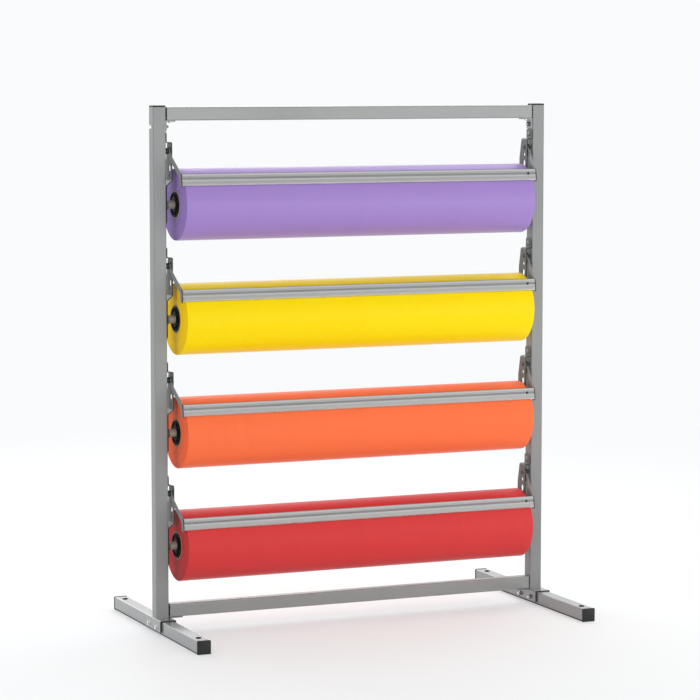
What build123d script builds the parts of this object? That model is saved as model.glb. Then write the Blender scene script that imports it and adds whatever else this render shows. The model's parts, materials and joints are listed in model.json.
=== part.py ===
from build123d import *
import os
from math import cos, radians, sin

# Paper roll rack: two square-tube posts on long feet, joined by a top rail and a bottom rail.
# Four decks between the posts each hold a wide paper roll on a rod that turns in two open
# cradles, and a cutter bar on two hinged arms that rests on the front of the roll.
# Millimetres. +X runs to the right along the rolls, +Y to the back, +Z up.
# The origin is on the floor, midway between the posts and midway along the feet.

# Paper roll, its cardboard core, the plugs in the core and the rod through them
DECKS = 4
ROLL_LENGTH = 914.0
ROLL_RADIUS = 86.0
PAPER_FIT = 0.05
CORE_WALL = 4.0
PLUG_RADIUS = 30.0
PLUG_FIT = 0.1
PLUG_PROUD = 3.0
PLUG_DEPTH = 40.0
PLUG_ROUND = 1.0
ROD_RADIUS = 10.0
ROD_WALL = 2.0
ROD_FIT = 0.05
ROD_END_GAP = 0.8

# Square tube of the posts and feet, and the rails between the posts
TUBE = 32.0
TUBE_WALL = 2.0
TUBE_CORNER = 3.0
TUBE_INNER_CORNER = 1.0
RAIL_DEPTH = 25.0
RAIL_HEIGHT = 32.0
RAIL_END_GAP = 3.0
FOOT_LENGTH = 600.0
FLOOR_HOLE_INSET = 35.0
FLOOR_HOLE_RADIUS = 4.5

# Plastic caps in the tube ends
CAP_FLANGE = 4.0
CAP_CHAMFER = 1.2
CAP_PLUG = 14.0
CAP_FIT = 0.15

# Saddle that straps a post to its foot, with a tongue under the bottom rail
SADDLE_THICK = 2.5
SADDLE_LENGTH = 110.0
SADDLE_DROP = 26.0
SADDLE_FIT = 1.8
SADDLE_BEND = 3.0
SADDLE_BOLT_SPACING = 55.0
TONGUE_LENGTH = 35.0

# Angle bracket under each end of the top rail
ANGLE_LEG = 25.0
ANGLE_WIDTH = 25.0
ANGLE_THICK = 3.0
ANGLE_BOLT_DROP = 14.5

# Heights between the decks
LOWEST_ROLL_GAP = 52.5
DECK_GAP = 56.0
DECK_TOP_GAP = 2.0
PIVOT_GAP = 41.0

# Deck bracket: one joggled strap with an upper tab, a plate off the post and a lower tab
STRAP_THICK = 2.0
STRAP_WIDTH = 30.0
STRAP_CORNER = 5.0
STRAP_BEND = 3.0
PLATE_CLEARANCE = 8.3
PLATE_ABOVE_PIVOT = 21.5
PLATE_BELOW_PIVOT = 70.0
PLATE_FLARE = 11.0
PLATE_FLARE_DROP = 28.0
JOGGLE_HEIGHT = 12.0
UPPER_TAB = 23.5
LOWER_TAB_DROP = 45.0
LOWER_SCREW_DROP = 32.0
HOLE_DROP = 18.5
HOLE_RADIUS = 4.6
SLOT_DROP = 40.5
SLOT_LENGTH = 16.0
SLOT_WIDTH = 12.0
LOW_SLOT_DROP = 57.5
LOW_SLOT_LENGTH = 10.0
LOW_SLOT_WIDTH = 7.0

# Open cradle on the lower tab, where the rod turns
CRADLE_LENGTH = 5.0
CRADLE_WALL = 2.0
CRADLE_FIT = 0.1
CRADLE_LIP = 6.5

# Cutter: where it touches the roll, its bar, blade and arms
CONTACT_ANGLE = 57.5
BAR_TILT = 24.5
BLADE_GAP = 0.4
BLADE_THICK = 2.6
BLADE_HEIGHT = 15.0
BLADE_BEVEL = 3.0
BLADE_SLOPE = 4.5
BLADE_SLOPE_DEPTH = 2.0
CARRIER_THICK = 2.0
CARRIER_RAISE = 8.0
GROOVE = 4.5
HEM_HEIGHT = 9.5
HEM_DEPTH = 2.6
HEM_LIP = 4.2
HEM_SLOPE = 4.3
HEM_SLOPE_DEPTH = 2.0
LEDGE_DEPTH = 8.0
ARM_THICK = 3.0
ARM_WIDTH = 11.6
ARM_LUG_RADIUS = 9.0
ARM_POST_GAP = 9.7
ARM_SET = 7.3
ARM_SET_START = 27.0
ARM_SET_LENGTH = 56.0
ARM_SET_BEND = 3.0
ARM_BAR_GAP = 0.3
ARM_BACKSET = 2.5
ARM_KNEE_DROP = 6.0
ARM_TOE_RAISE = 3.0
ARM_TAB_LENGTH = 36.0
ARM_TAB_RAISE = 3.5
ARM_TAB_GAP = 0.5

# Cutter pivot hardware
PIVOT_RADIUS = 4.0
PIVOT_FIT = 0.08
PIVOT_PLAY = 0.2
PIVOT_HEAD_RADIUS = 6.0
PIVOT_HEAD = 2.5
PIVOT_NUT_FLATS = 13.0
PIVOT_NUT = 6.5
PIVOT_TAIL = 2.0
WASHER_RADIUS = 8.0
WASHER_THICK = 1.0
WASHER_FIT = 0.2

# Frame bolts with nuts, domed screws, and the small screws of the cutter bar
BOLT_RADIUS = 3.0
BOLT_FIT = 0.2
BOLT_FLATS = 10.0
BOLT_HEAD = 4.0
BOLT_NUT = 5.0
BOLT_TAIL = 4.0
NUT_FIT = 0.05
SCREW_RADIUS = 2.5
SCREW_FIT = 0.15
SCREW_HEAD_RADIUS = 5.5
SCREW_HEAD = 3.2
SCREW_REACH = 6.0
DOME_SHARE = 0.75
BAR_SCREW_RADIUS = 2.0
BAR_SCREW_FIT = 0.1
BAR_SCREW_HEAD_RADIUS = 3.0
BAR_SCREW_HEAD = 1.8
BAR_SCREW_NOTCH = 0.3
BAR_SCREW_INSET = 19.2
BAR_SCREW_TAIL = 2.0

# How far a cut runs past the face that it starts from
OVERRUN = 1.0

# Places along X, from the roll's end out to the post
roll_end = ROLL_LENGTH / 2
plug_face = roll_end + PLUG_PROUD
plate_inner = plug_face + PLATE_CLEARANCE
plate_outer = plate_inner + STRAP_THICK
arm_inner = plate_outer + WASHER_THICK
arm_outer = arm_inner + ARM_THICK
post_inner = arm_outer + ARM_POST_GAP
post_x = post_inner + TUBE / 2
post_outer = post_inner + TUBE
tab_inner = post_inner - STRAP_THICK
leg_inner = arm_inner - ARM_SET
leg_outer = leg_inner + ARM_THICK
bar_half = leg_inner - ARM_BAR_GAP
rail_half = post_inner - RAIL_END_GAP
angle_screw_x = post_inner - (ANGLE_LEG + RAIL_END_GAP) / 2
tongue_screw_x = post_inner - TONGUE_LENGTH + SCREW_HEAD_RADIUS + SADDLE_THICK

# Heights within one deck, measured from the rod's axis
pivot_rise = ROLL_RADIUS + PIVOT_GAP
plate_top = pivot_rise + PLATE_ABOVE_PIVOT
plate_bottom = pivot_rise - PLATE_BELOW_PIVOT
lower_tab_top = plate_bottom - JOGGLE_HEIGHT
bracket_top = plate_top + UPPER_TAB
upper_screw = plate_top + UPPER_TAB / 2

# Heights of the frame and the decks above the floor, the lowest deck first
post_bottom = TUBE + SADDLE_THICK
lowest_axis = post_bottom + RAIL_HEIGHT + LOWEST_ROLL_GAP + ROLL_RADIUS
deck_pitch = bracket_top + LOWER_TAB_DROP + DECK_GAP
axis_heights = [lowest_axis + level * deck_pitch for level in range(DECKS)]
top_rail_bottom = axis_heights[-1] + bracket_top + DECK_TOP_GAP + ANGLE_LEG
post_top = top_rail_bottom + RAIL_HEIGHT
angle_bolt_z = top_rail_bottom - ANGLE_BOLT_DROP
rail_y = -TUBE / 2 + RAIL_DEPTH / 2
floor_hole_y = FOOT_LENGTH / 2 - FLOOR_HOLE_INSET

# Cutter section: n runs out of the bar's front and t up along it, from the carrier's back
bar_lean = radians(90 - CONTACT_ANGLE - BAR_TILT)
normal = Vector(0, -cos(bar_lean), sin(bar_lean))
upward = Vector(0, sin(bar_lean), cos(bar_lean))
contact_radius = ROLL_RADIUS + BLADE_GAP
contact = Vector(0, -sin(radians(CONTACT_ANGLE)), cos(radians(CONTACT_ANGLE))) * contact_radius
bar_origin = contact - normal * CARRIER_THICK
groove_high = BLADE_HEIGHT + GROOVE
bar_top = groove_high + HEM_HEIGHT
bar_front = CARRIER_THICK + HEM_DEPTH
ledge_low = bar_top - CARRIER_THICK
bar_screw_t = BLADE_HEIGHT + GROOVE / 2
bar_screw_x = bar_half - BAR_SCREW_INSET
arm_tab_low = CARRIER_RAISE + ARM_TAB_RAISE
arm_tab_high = ledge_low - ARM_TAB_GAP


# Small helpers


def both_sides(right):
    """The right-hand solids and their mirror images on the left."""
    left = [mirror(solid, about=Plane.YZ) for solid in right]
    return Compound(children=[*right, *left])


def cylinder_x(x_low, x_high, y, z, radius):
    """A round bar along X."""
    plane = Plane(origin=(x_low, y, z), x_dir=(0, 1, 0), z_dir=(1, 0, 0))
    return extrude(plane * Circle(radius), x_high - x_low)


def cylinder_z(x, y, z_low, z_high, radius):
    """A round bar along Z."""
    plane = Plane(origin=(x, y, z_low))
    return extrude(plane * Circle(radius), z_high - z_low)


def box(x_span, y_span, z_span):
    """A block between pairs of low and high values."""
    lows, highs = zip(x_span, y_span, z_span)
    middle = [(low + high) / 2 for low, high in zip(lows, highs)]
    sizes = [high - low for low, high in zip(lows, highs)]
    return Pos(*middle) * Box(*sizes)


def tube_section(width, height):
    """The hollow section of a tube with rounded corners."""
    hole = RectangleRounded(width - 2 * TUBE_WALL, height - 2 * TUBE_WALL, TUBE_INNER_CORNER)
    return RectangleRounded(width, height, TUBE_CORNER) - hole


def side_plane(x, z):
    """A plane across X whose first axis is Y and second is Z, at a deck's axis."""
    return Plane(origin=(x, 0, z), x_dir=(0, 1, 0), z_dir=(1, 0, 0))


def bar_plane(x, z):
    """A plane across X whose first axis is n and second is t, facing -X."""
    origin = bar_origin + Vector(x, 0, z)
    return Plane(origin=origin, x_dir=normal, z_dir=(-1, 0, 0))


def bar_place(n, t):
    """The (y, z) place of a point of the cutter section, from the rod's axis."""
    point = bar_origin + normal * n + upward * t
    return point.Y, point.Z


# Fasteners, each along +Z with its head below zero


def dome_head(radius, height):
    """A low domed head that hangs below zero."""
    drum = extrude(Circle(radius), -height)
    rim = drum.edges().sort_by(Axis.Z)[0]
    return fillet(rim, height * DOME_SHARE)


def dome_screw(radius, reach, head_radius, head):
    """A screw with a domed head."""
    return dome_head(head_radius, head) + extrude(Circle(radius), reach)


def hex_bolt(radius, reach, flats, head):
    """A bolt with a six-sided head."""
    hexagon = RegularPolygon(flats / 2, 6, major_radius=False)
    return extrude(hexagon, -head) + extrude(Circle(radius), reach)


def hex_nut(radius, flats, height):
    """A six-sided nut that stands on zero."""
    hexagon = RegularPolygon(flats / 2, 6, major_radius=False) - Circle(radius + NUT_FIT)
    return extrude(hexagon, height)


def set_at(piece, place, direction):
    """The piece with its own +Z turned to a direction."""
    return Plane(origin=place, z_dir=direction) * piece


# Frame


def post():
    """The right post, drilled for the deck screws and the top rail's bolt."""
    section = Pos(post_x, 0) * tube_section(TUBE, TUBE)
    body = extrude(Plane.XY.offset(post_bottom) * section, post_top - post_bottom)
    for axis_z in axis_heights:
        for z in (axis_z + upper_screw, axis_z - LOWER_SCREW_DROP):
            body -= cylinder_x(post_inner - OVERRUN, post_x, 0, z, SCREW_RADIUS + SCREW_FIT)
    across = (post_inner - OVERRUN, post_outer + OVERRUN)
    body -= cylinder_x(*across, 0, angle_bolt_z, BOLT_RADIUS + BOLT_FIT)
    return body


def rail(bottom, screw_x):
    """A rail between the posts, with a screw hole in its underside near each end."""
    plane = Plane(origin=(-rail_half, rail_y, bottom + RAIL_HEIGHT / 2), x_dir=(0, 1, 0), z_dir=(1, 0, 0))
    body = extrude(plane * tube_section(RAIL_DEPTH, RAIL_HEIGHT), 2 * rail_half)
    for side in (-1, 1):
        hole = (bottom - OVERRUN, bottom + RAIL_HEIGHT / 2)
        body -= cylinder_z(side * screw_x, rail_y, *hole, SCREW_RADIUS + SCREW_FIT)
    return body


def foot():
    """The right foot, with its floor holes and the holes of the saddle bolts."""
    section = tube_section(TUBE, TUBE)
    plane = Plane(origin=(post_x, FOOT_LENGTH / 2, TUBE / 2), x_dir=(1, 0, 0), z_dir=(0, -1, 0))
    body = extrude(plane * section, FOOT_LENGTH)
    for y in (-floor_hole_y, floor_hole_y):
        body -= cylinder_z(post_x, y, -OVERRUN, TUBE + OVERRUN, FLOOR_HOLE_RADIUS)
    for y in (-SADDLE_BOLT_SPACING / 2, SADDLE_BOLT_SPACING / 2):
        across = (post_inner - OVERRUN, post_outer + OVERRUN)
        body -= cylinder_x(*across, y, TUBE / 2, BOLT_RADIUS + BOLT_FIT)
    return body


def saddle():
    """The right saddle: an upturned channel over the foot, with its tongue under the rail."""
    half_in = TUBE / 2 + SADDLE_FIT
    half_out = half_in + SADDLE_THICK
    half_length = SADDLE_LENGTH / 2
    span_y = (-half_length, half_length)
    low = TUBE - SADDLE_DROP
    body = box((post_x - half_out, post_x + half_out), span_y, (low, post_bottom))
    body = fillet(body.edges().filter_by(Axis.Y).group_by(Axis.Z)[-1], SADDLE_BEND)
    body -= box((post_x - half_in, post_x + half_in), span_y, (low, TUBE))
    tongue_x = (post_inner - TONGUE_LENGTH, post_x)
    tongue_y = (rail_y - RAIL_DEPTH / 2, rail_y + RAIL_DEPTH / 2)
    body += box(tongue_x, tongue_y, (TUBE, post_bottom))
    for y in (-SADDLE_BOLT_SPACING / 2, SADDLE_BOLT_SPACING / 2):
        hole = (post_x - half_out - OVERRUN, post_x + half_out + OVERRUN)
        body -= cylinder_x(*hole, y, TUBE / 2, BOLT_RADIUS + BOLT_FIT)
    hole = (TUBE - OVERRUN, post_bottom + OVERRUN)
    body -= cylinder_z(tongue_screw_x, rail_y, *hole, SCREW_RADIUS + SCREW_FIT)
    return body


def tube_cap():
    """A tube end cap: a flange with a chamfered face above zero and a plug below it."""
    flange = extrude(RectangleRounded(TUBE, TUBE, TUBE_CORNER), CAP_FLANGE)
    flange = chamfer(flange.faces().sort_by(Axis.Z)[-1].edges(), CAP_CHAMFER)
    inside = TUBE - 2 * TUBE_WALL - 2 * CAP_FIT
    return flange + extrude(RectangleRounded(inside, inside, TUBE_INNER_CORNER), -CAP_PLUG)


def rail_angle():
    """The right angle bracket under the top rail."""
    span_y = (-ANGLE_WIDTH / 2, ANGLE_WIDTH / 2)
    upright = box(
        (post_inner - ANGLE_THICK, post_inner), span_y, (top_rail_bottom - ANGLE_LEG, top_rail_bottom)
    )
    flat = box(
        (post_inner - ANGLE_LEG, post_inner), span_y, (top_rail_bottom - ANGLE_THICK, top_rail_bottom)
    )
    body = upright + flat
    hole = (post_inner - ANGLE_THICK - OVERRUN, post_inner + OVERRUN)
    body -= cylinder_x(*hole, 0, angle_bolt_z, BOLT_RADIUS + BOLT_FIT)
    hole = (top_rail_bottom - ANGLE_THICK - OVERRUN, top_rail_bottom + OVERRUN)
    body -= cylinder_z(angle_screw_x, rail_y, *hole, SCREW_RADIUS + SCREW_FIT)
    return body


# Deck brackets


def bracket(axis_z):
    """The right bracket of one deck: a joggled strap with a cradle on its lower tab."""
    on_post = post_inner - STRAP_THICK / 2
    off_post = plate_outer - STRAP_THICK / 2
    shelf = plate_top - STRAP_THICK / 2
    path = FilletPolyline(
        (on_post, bracket_top),
        (on_post, shelf),
        (off_post, shelf),
        (off_post, plate_bottom),
        (on_post, lower_tab_top),
        (on_post, -LOWER_TAB_DROP),
        radius=STRAP_BEND,
    )
    half = STRAP_WIDTH / 2
    reach = half + PLATE_FLARE
    front = Plane(origin=(0, reach, axis_z), x_dir=(1, 0, 0), z_dir=(0, -1, 0))
    strap = extrude(front * trace(path, STRAP_THICK), 2 * reach)
    outline = Polygon(
        (-half, -LOWER_TAB_DROP),
        (half, -LOWER_TAB_DROP),
        (half, lower_tab_top),
        (reach, plate_bottom),
        (reach, pivot_rise - PLATE_FLARE_DROP),
        (half, plate_top),
        (half, bracket_top),
        (-half, bracket_top),
    )
    outline = fillet(outline.vertices(), STRAP_CORNER)
    cut_plane = side_plane(plate_inner - OVERRUN, axis_z)
    cut_depth = post_inner - plate_inner + 2 * OVERRUN
    strap &= extrude(cut_plane * outline, cut_depth)

    cuts = Pos(0, pivot_rise) * Circle(PIVOT_RADIUS + PIVOT_FIT)
    cuts += Pos(0, pivot_rise - HOLE_DROP) * Circle(HOLE_RADIUS)
    cuts += Pos(0, pivot_rise - SLOT_DROP) * SlotOverall(SLOT_LENGTH, SLOT_WIDTH, rotation=90)
    cuts += Pos(0, pivot_rise - LOW_SLOT_DROP) * SlotOverall(
        LOW_SLOT_LENGTH, LOW_SLOT_WIDTH, rotation=90
    )
    cuts += Pos(0, upper_screw) * Circle(SCREW_RADIUS + SCREW_FIT)
    cuts += Pos(0, -LOWER_SCREW_DROP) * Circle(SCREW_RADIUS + SCREW_FIT)
    strap -= extrude(cut_plane * cuts, cut_depth)

    seat = ROD_RADIUS + CRADLE_FIT
    rim = seat + CRADLE_WALL
    low_edge = (Align.CENTER, Align.MIN)
    cradle = Circle(rim) + Rectangle(2 * rim, CRADLE_LIP, align=low_edge)
    cradle &= Pos(0, -rim) * Rectangle(2 * rim, rim + CRADLE_LIP, align=low_edge)
    cradle -= Circle(seat) + Rectangle(2 * seat, rim, align=low_edge)
    return strap + extrude(side_plane(tab_inner - CRADLE_LENGTH, axis_z) * cradle, CRADLE_LENGTH)


# Rolls


def paper_roll(axis_z):
    """The wound paper as one thick sleeve."""
    ring = Circle(ROLL_RADIUS) - Circle(PLUG_RADIUS + PLUG_FIT + CORE_WALL + PAPER_FIT)
    return extrude(side_plane(-roll_end, axis_z) * ring, ROLL_LENGTH)


def core(axis_z):
    """The cardboard tube that the paper is wound on."""
    bore = PLUG_RADIUS + PLUG_FIT
    ring = Circle(bore + CORE_WALL) - Circle(bore)
    return extrude(side_plane(-roll_end, axis_z) * ring, ROLL_LENGTH)


def core_plug(axis_z):
    """The right plug, a round block in the core's end with the rod through it."""
    inner_end = roll_end - PLUG_DEPTH
    body = cylinder_x(inner_end, plug_face, 0, axis_z, PLUG_RADIUS)
    body = fillet(body.edges().sort_by(Axis.X)[-1], PLUG_ROUND)
    bore = (inner_end - OVERRUN, plug_face + OVERRUN)
    return body - cylinder_x(*bore, 0, axis_z, ROD_RADIUS + ROD_FIT)


def rod(axis_z):
    """The tube that carries the roll, from cradle to cradle."""
    half = tab_inner - ROD_END_GAP
    ring = Circle(ROD_RADIUS) - Circle(ROD_RADIUS - ROD_WALL)
    return extrude(side_plane(-half, axis_z) * ring, 2 * half)


# Cutters


def bar_screw_hole(side, axis_z, n_low, n_high, radius):
    """A round cutter for a bar screw, between two depths of the bar's section."""
    place = bar_origin + upward * bar_screw_t + normal * n_low + Vector(side * bar_screw_x, 0, axis_z)
    return extrude(Plane(origin=place, z_dir=normal) * Circle(radius), n_high - n_low)


def cutter_bar(axis_z):
    """The formed carrier: a front web, a thick hem above the groove and a ledge to the back."""
    section = Polygon(
        (0, CARRIER_RAISE),
        (CARRIER_THICK, CARRIER_RAISE),
        (CARRIER_THICK, groove_high),
        (bar_front, groove_high),
        (bar_front, groove_high + HEM_LIP),
        (bar_front - HEM_SLOPE_DEPTH, groove_high + HEM_LIP + HEM_SLOPE),
        (bar_front - HEM_SLOPE_DEPTH, bar_top),
        (-LEDGE_DEPTH, bar_top),
        (-LEDGE_DEPTH, ledge_low),
        (0, ledge_low),
    )
    body = extrude(bar_plane(bar_half, axis_z) * section, 2 * bar_half)
    for side in (-1, 1):
        body -= bar_screw_hole(side, axis_z, -OVERRUN, CARRIER_THICK, BAR_SCREW_RADIUS + BAR_SCREW_FIT)
        notch = BAR_SCREW_HEAD_RADIUS + BAR_SCREW_NOTCH
        body -= bar_screw_hole(side, axis_z, CARRIER_THICK, bar_front + OVERRUN, notch)
    return body


def cutter_blade(axis_z):
    """The blade strip on the carrier's front, bevelled to its edge on the roll."""
    face = CARRIER_THICK + BLADE_THICK
    strip = Polygon(
        (CARRIER_THICK, 0),
        (face, BLADE_BEVEL),
        (face, BLADE_HEIGHT - BLADE_SLOPE),
        (face - BLADE_SLOPE_DEPTH, BLADE_HEIGHT),
        (CARRIER_THICK, BLADE_HEIGHT),
    )
    body = extrude(bar_plane(bar_half, axis_z) * strip, 2 * bar_half)
    for side in (-1, 1):
        notch = BAR_SCREW_HEAD_RADIUS + BAR_SCREW_NOTCH
        body -= bar_screw_hole(side, axis_z, CARRIER_THICK - OVERRUN, face + OVERRUN, notch)
    return body


def strap_between(start, end):
    """The outline of a round-ended strap from one (y, z) place to another."""
    ends = [Pos(*place) * Circle(ARM_WIDTH / 2) for place in (start, end)]
    return make_hull([edge for disc in ends for edge in disc.edges()])


def set_in_sheet(knee, axis_z):
    """The sheet that the right arm is cut from, bent in along the line from the pivot to the knee."""
    down = (Vector(0, *knee) - Vector(0, 0, pivot_rise)).normalized()
    on_pivot = (arm_inner + arm_outer) / 2
    on_leg = (leg_inner + leg_outer) / 2
    path = FilletPolyline(
        (on_pivot, -pivot_rise),
        (on_pivot, ARM_SET_START),
        (on_leg, ARM_SET_START + ARM_SET_LENGTH),
        (on_leg, pivot_rise),
        radius=ARM_SET_BEND,
    )
    across = Vector(1, 0, 0).cross(down)
    plane = Plane(origin=(0, 0, axis_z + pivot_rise), x_dir=(1, 0, 0), z_dir=across)
    return extrude(plane * trace(path, ARM_THICK), pivot_rise, both=True)


def cutter_arm(axis_z):
    """The right arm: a strap from the pivot, set in to a leg at the bar's end, with a tab behind the bar."""
    knee = bar_place(-ARM_BACKSET, bar_top - ARM_KNEE_DROP)
    toe = bar_place(-ARM_BACKSET, ARM_TOE_RAISE)
    pivot = (0, pivot_rise)
    profile = strap_between(pivot, knee) + strap_between(knee, toe)
    profile += Pos(*pivot) * Circle(ARM_LUG_RADIUS)
    profile -= Pos(*pivot) * Circle(PIVOT_RADIUS + PIVOT_FIT)
    body = set_in_sheet(knee, axis_z)
    body &= extrude(side_plane(leg_inner - OVERRUN, axis_z) * profile, arm_outer - leg_inner + 2 * OVERRUN)
    tab = Polygon((-ARM_THICK, arm_tab_low), (0, arm_tab_low), (0, arm_tab_high), (-ARM_THICK, arm_tab_high))
    body += extrude(bar_plane(leg_outer, axis_z) * tab, ARM_THICK + ARM_TAB_LENGTH)
    hole = (-ARM_THICK - OVERRUN, OVERRUN)
    return body - bar_screw_hole(1, axis_z, *hole, BAR_SCREW_RADIUS + BAR_SCREW_FIT)


def bar_screw(side, axis_z):
    """A small screw in the groove that holds the bar to an arm's tab."""
    reach = CARRIER_THICK + ARM_THICK + BAR_SCREW_TAIL
    screw = dome_screw(BAR_SCREW_RADIUS, reach, BAR_SCREW_HEAD_RADIUS, BAR_SCREW_HEAD)
    place = bar_origin + upward * bar_screw_t + normal * CARRIER_THICK
    return set_at(screw, place + Vector(side * bar_screw_x, 0, axis_z), -normal)


# Fastener groups


def saddle_fasteners():
    """The right saddle's through bolts and their nuts on the inner side."""
    half_out = TUBE / 2 + SADDLE_FIT + SADDLE_THICK
    bolt = hex_bolt(BOLT_RADIUS, 2 * half_out + BOLT_NUT + BOLT_TAIL, BOLT_FLATS, BOLT_HEAD)
    nut = hex_nut(BOLT_RADIUS, BOLT_FLATS, BOLT_NUT)
    bolts = []
    nuts = []
    for y in (-SADDLE_BOLT_SPACING / 2, SADDLE_BOLT_SPACING / 2):
        bolts.append(set_at(bolt, (post_x + half_out, y, TUBE / 2), (-1, 0, 0)))
        nuts.append(set_at(nut, (post_x - half_out, y, TUBE / 2), (-1, 0, 0)))
    return bolts, nuts


def angle_fasteners():
    """The right angle's bolt through the post and its nut on the inner side."""
    reach = TUBE + ANGLE_THICK + BOLT_NUT + BOLT_TAIL
    bolt = hex_bolt(BOLT_RADIUS, reach, BOLT_FLATS, BOLT_HEAD)
    nut = hex_nut(BOLT_RADIUS, BOLT_FLATS, BOLT_NUT)
    bolts = [set_at(bolt, (post_outer, 0, angle_bolt_z), (-1, 0, 0))]
    nuts = [set_at(nut, (post_inner - ANGLE_THICK, 0, angle_bolt_z), (-1, 0, 0))]
    return bolts, nuts


def rail_screws():
    """The right screws that go up into the two rails."""
    top = dome_screw(SCREW_RADIUS, ANGLE_THICK + TUBE_WALL + SCREW_REACH, SCREW_HEAD_RADIUS, SCREW_HEAD)
    low = dome_screw(SCREW_RADIUS, SADDLE_THICK + TUBE_WALL + SCREW_REACH, SCREW_HEAD_RADIUS, SCREW_HEAD)
    return [
        Pos(angle_screw_x, rail_y, top_rail_bottom - ANGLE_THICK) * top,
        Pos(tongue_screw_x, rail_y, TUBE) * low,
    ]


def bracket_screws():
    """The right screws that hold the deck brackets to the post."""
    screw = dome_screw(SCREW_RADIUS, STRAP_THICK + TUBE_WALL + SCREW_REACH, SCREW_HEAD_RADIUS, SCREW_HEAD)
    rises = (upper_screw, -LOWER_SCREW_DROP)
    places = [(tab_inner, 0, axis_z + rise) for axis_z in axis_heights for rise in rises]
    return [set_at(screw, place, (1, 0, 0)) for place in places]


def pivot_hardware():
    """The right pivot bolts, their washers between plate and arm, and their nuts."""
    stack = STRAP_THICK + WASHER_THICK + ARM_THICK + PIVOT_PLAY
    bolt = dome_screw(PIVOT_RADIUS, stack + PIVOT_NUT + PIVOT_TAIL, PIVOT_HEAD_RADIUS, PIVOT_HEAD)
    washer = extrude(Circle(WASHER_RADIUS) - Circle(PIVOT_RADIUS + WASHER_FIT), WASHER_THICK)
    nut = hex_nut(PIVOT_RADIUS, PIVOT_NUT_FLATS, PIVOT_NUT)
    kinds = ((bolt, plate_inner), (washer, plate_outer), (nut, arm_outer + PIVOT_PLAY))
    heights = [axis_z + pivot_rise for axis_z in axis_heights]
    return [[set_at(piece, (x, 0, z), (1, 0, 0)) for z in heights] for piece, x in kinds]


def post_cap():
    """The right post's cap."""
    return Pos(post_x, 0, post_top) * tube_cap()


def foot_caps():
    """The right foot's caps, one at each end."""
    places = ((-FOOT_LENGTH / 2, (0, -1, 0)), (FOOT_LENGTH / 2, (0, 1, 0)))
    return [set_at(tube_cap(), (post_x, y, TUBE / 2), direction) for y, direction in places]


saddle_bolts, saddle_nuts = saddle_fasteners()
angle_bolts, angle_nuts = angle_fasteners()
pivot_bolts, pivot_washers, pivot_nuts = pivot_hardware()
right_post = post()
right_foot = foot()
right_saddle = saddle()

nodes = {
    "left_post": mirror(right_post, about=Plane.YZ),
    "right_post": right_post,
    "top_rail": rail(top_rail_bottom, angle_screw_x),
    "bottom_rail": rail(post_bottom, tongue_screw_x),
    "left_foot": mirror(right_foot, about=Plane.YZ),
    "right_foot": right_foot,
    "left_saddle": mirror(right_saddle, about=Plane.YZ),
    "right_saddle": right_saddle,
    "post_caps": both_sides([post_cap()]),
    "foot_caps": both_sides(foot_caps()),
    "rail_angles": both_sides([rail_angle()]),
    "rail_bolts": both_sides(angle_bolts),
    "rail_nuts": both_sides(angle_nuts),
    "rail_screws": both_sides(rail_screws()),
    "saddle_bolts": both_sides(saddle_bolts),
    "saddle_nuts": both_sides(saddle_nuts),
    "bracket_screws": both_sides(bracket_screws()),
    "pivot_bolts": both_sides(pivot_bolts),
    "pivot_washers": both_sides(pivot_washers),
    "pivot_nuts": both_sides(pivot_nuts),
}

# Decks are numbered from the top down
for number, axis_z in enumerate(reversed(axis_heights), start=1):
    right_bracket = bracket(axis_z)
    nodes[f"left_bracket_{number}"] = mirror(right_bracket, about=Plane.YZ)
    nodes[f"right_bracket_{number}"] = right_bracket
    nodes[f"paper_roll_{number}"] = paper_roll(axis_z)
    nodes[f"core_{number}"] = core(axis_z)
    nodes[f"core_plugs_{number}"] = both_sides([core_plug(axis_z)])
    nodes[f"rod_{number}"] = rod(axis_z)
    nodes[f"cutter_bar_{number}"] = cutter_bar(axis_z)
    nodes[f"cutter_blade_{number}"] = cutter_blade(axis_z)
    nodes[f"cutter_arms_{number}"] = both_sides([cutter_arm(axis_z)])
    nodes[f"bar_screws_{number}"] = Compound(children=[bar_screw(side, axis_z) for side in (-1, 1)])

os.makedirs("parts", exist_ok=True)
for name, shape in nodes.items():
    shape.label = name
    export_step(shape, f"parts/{name}.step")
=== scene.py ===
"""Looks of a paper roll rack.

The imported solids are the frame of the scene. Every solid gets its finish here. Finer surfaces stand
for the paper, plugs, cutters, foot caps and fasteners, and a plain studio shows the rack.
Lengths are metres: +X runs to the right along the rolls, +Y to the back, +Z up from the floor.
"""

import json
import logging
import math
from dataclasses import dataclass
from enum import Enum
from typing import ClassVar, Optional, Union

import bpy
import numpy as np
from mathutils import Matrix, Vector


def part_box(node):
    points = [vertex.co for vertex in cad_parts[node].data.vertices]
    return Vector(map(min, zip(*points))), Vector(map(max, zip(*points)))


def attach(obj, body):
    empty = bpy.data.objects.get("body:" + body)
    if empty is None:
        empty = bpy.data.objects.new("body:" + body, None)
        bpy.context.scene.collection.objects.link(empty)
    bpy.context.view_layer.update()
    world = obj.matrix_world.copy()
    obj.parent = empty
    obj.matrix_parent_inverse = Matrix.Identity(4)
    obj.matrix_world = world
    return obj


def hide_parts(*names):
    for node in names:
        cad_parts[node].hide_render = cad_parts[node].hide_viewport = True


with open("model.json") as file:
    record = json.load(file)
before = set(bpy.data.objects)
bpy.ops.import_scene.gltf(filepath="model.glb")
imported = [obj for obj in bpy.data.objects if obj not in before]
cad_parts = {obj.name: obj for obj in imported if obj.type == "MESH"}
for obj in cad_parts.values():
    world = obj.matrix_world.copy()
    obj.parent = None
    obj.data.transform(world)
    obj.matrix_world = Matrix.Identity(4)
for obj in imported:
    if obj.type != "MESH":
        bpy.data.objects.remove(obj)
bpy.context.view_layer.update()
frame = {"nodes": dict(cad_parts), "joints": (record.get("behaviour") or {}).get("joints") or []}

log = logging.getLogger("paper_roll_rack")
MM = 0.001
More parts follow.
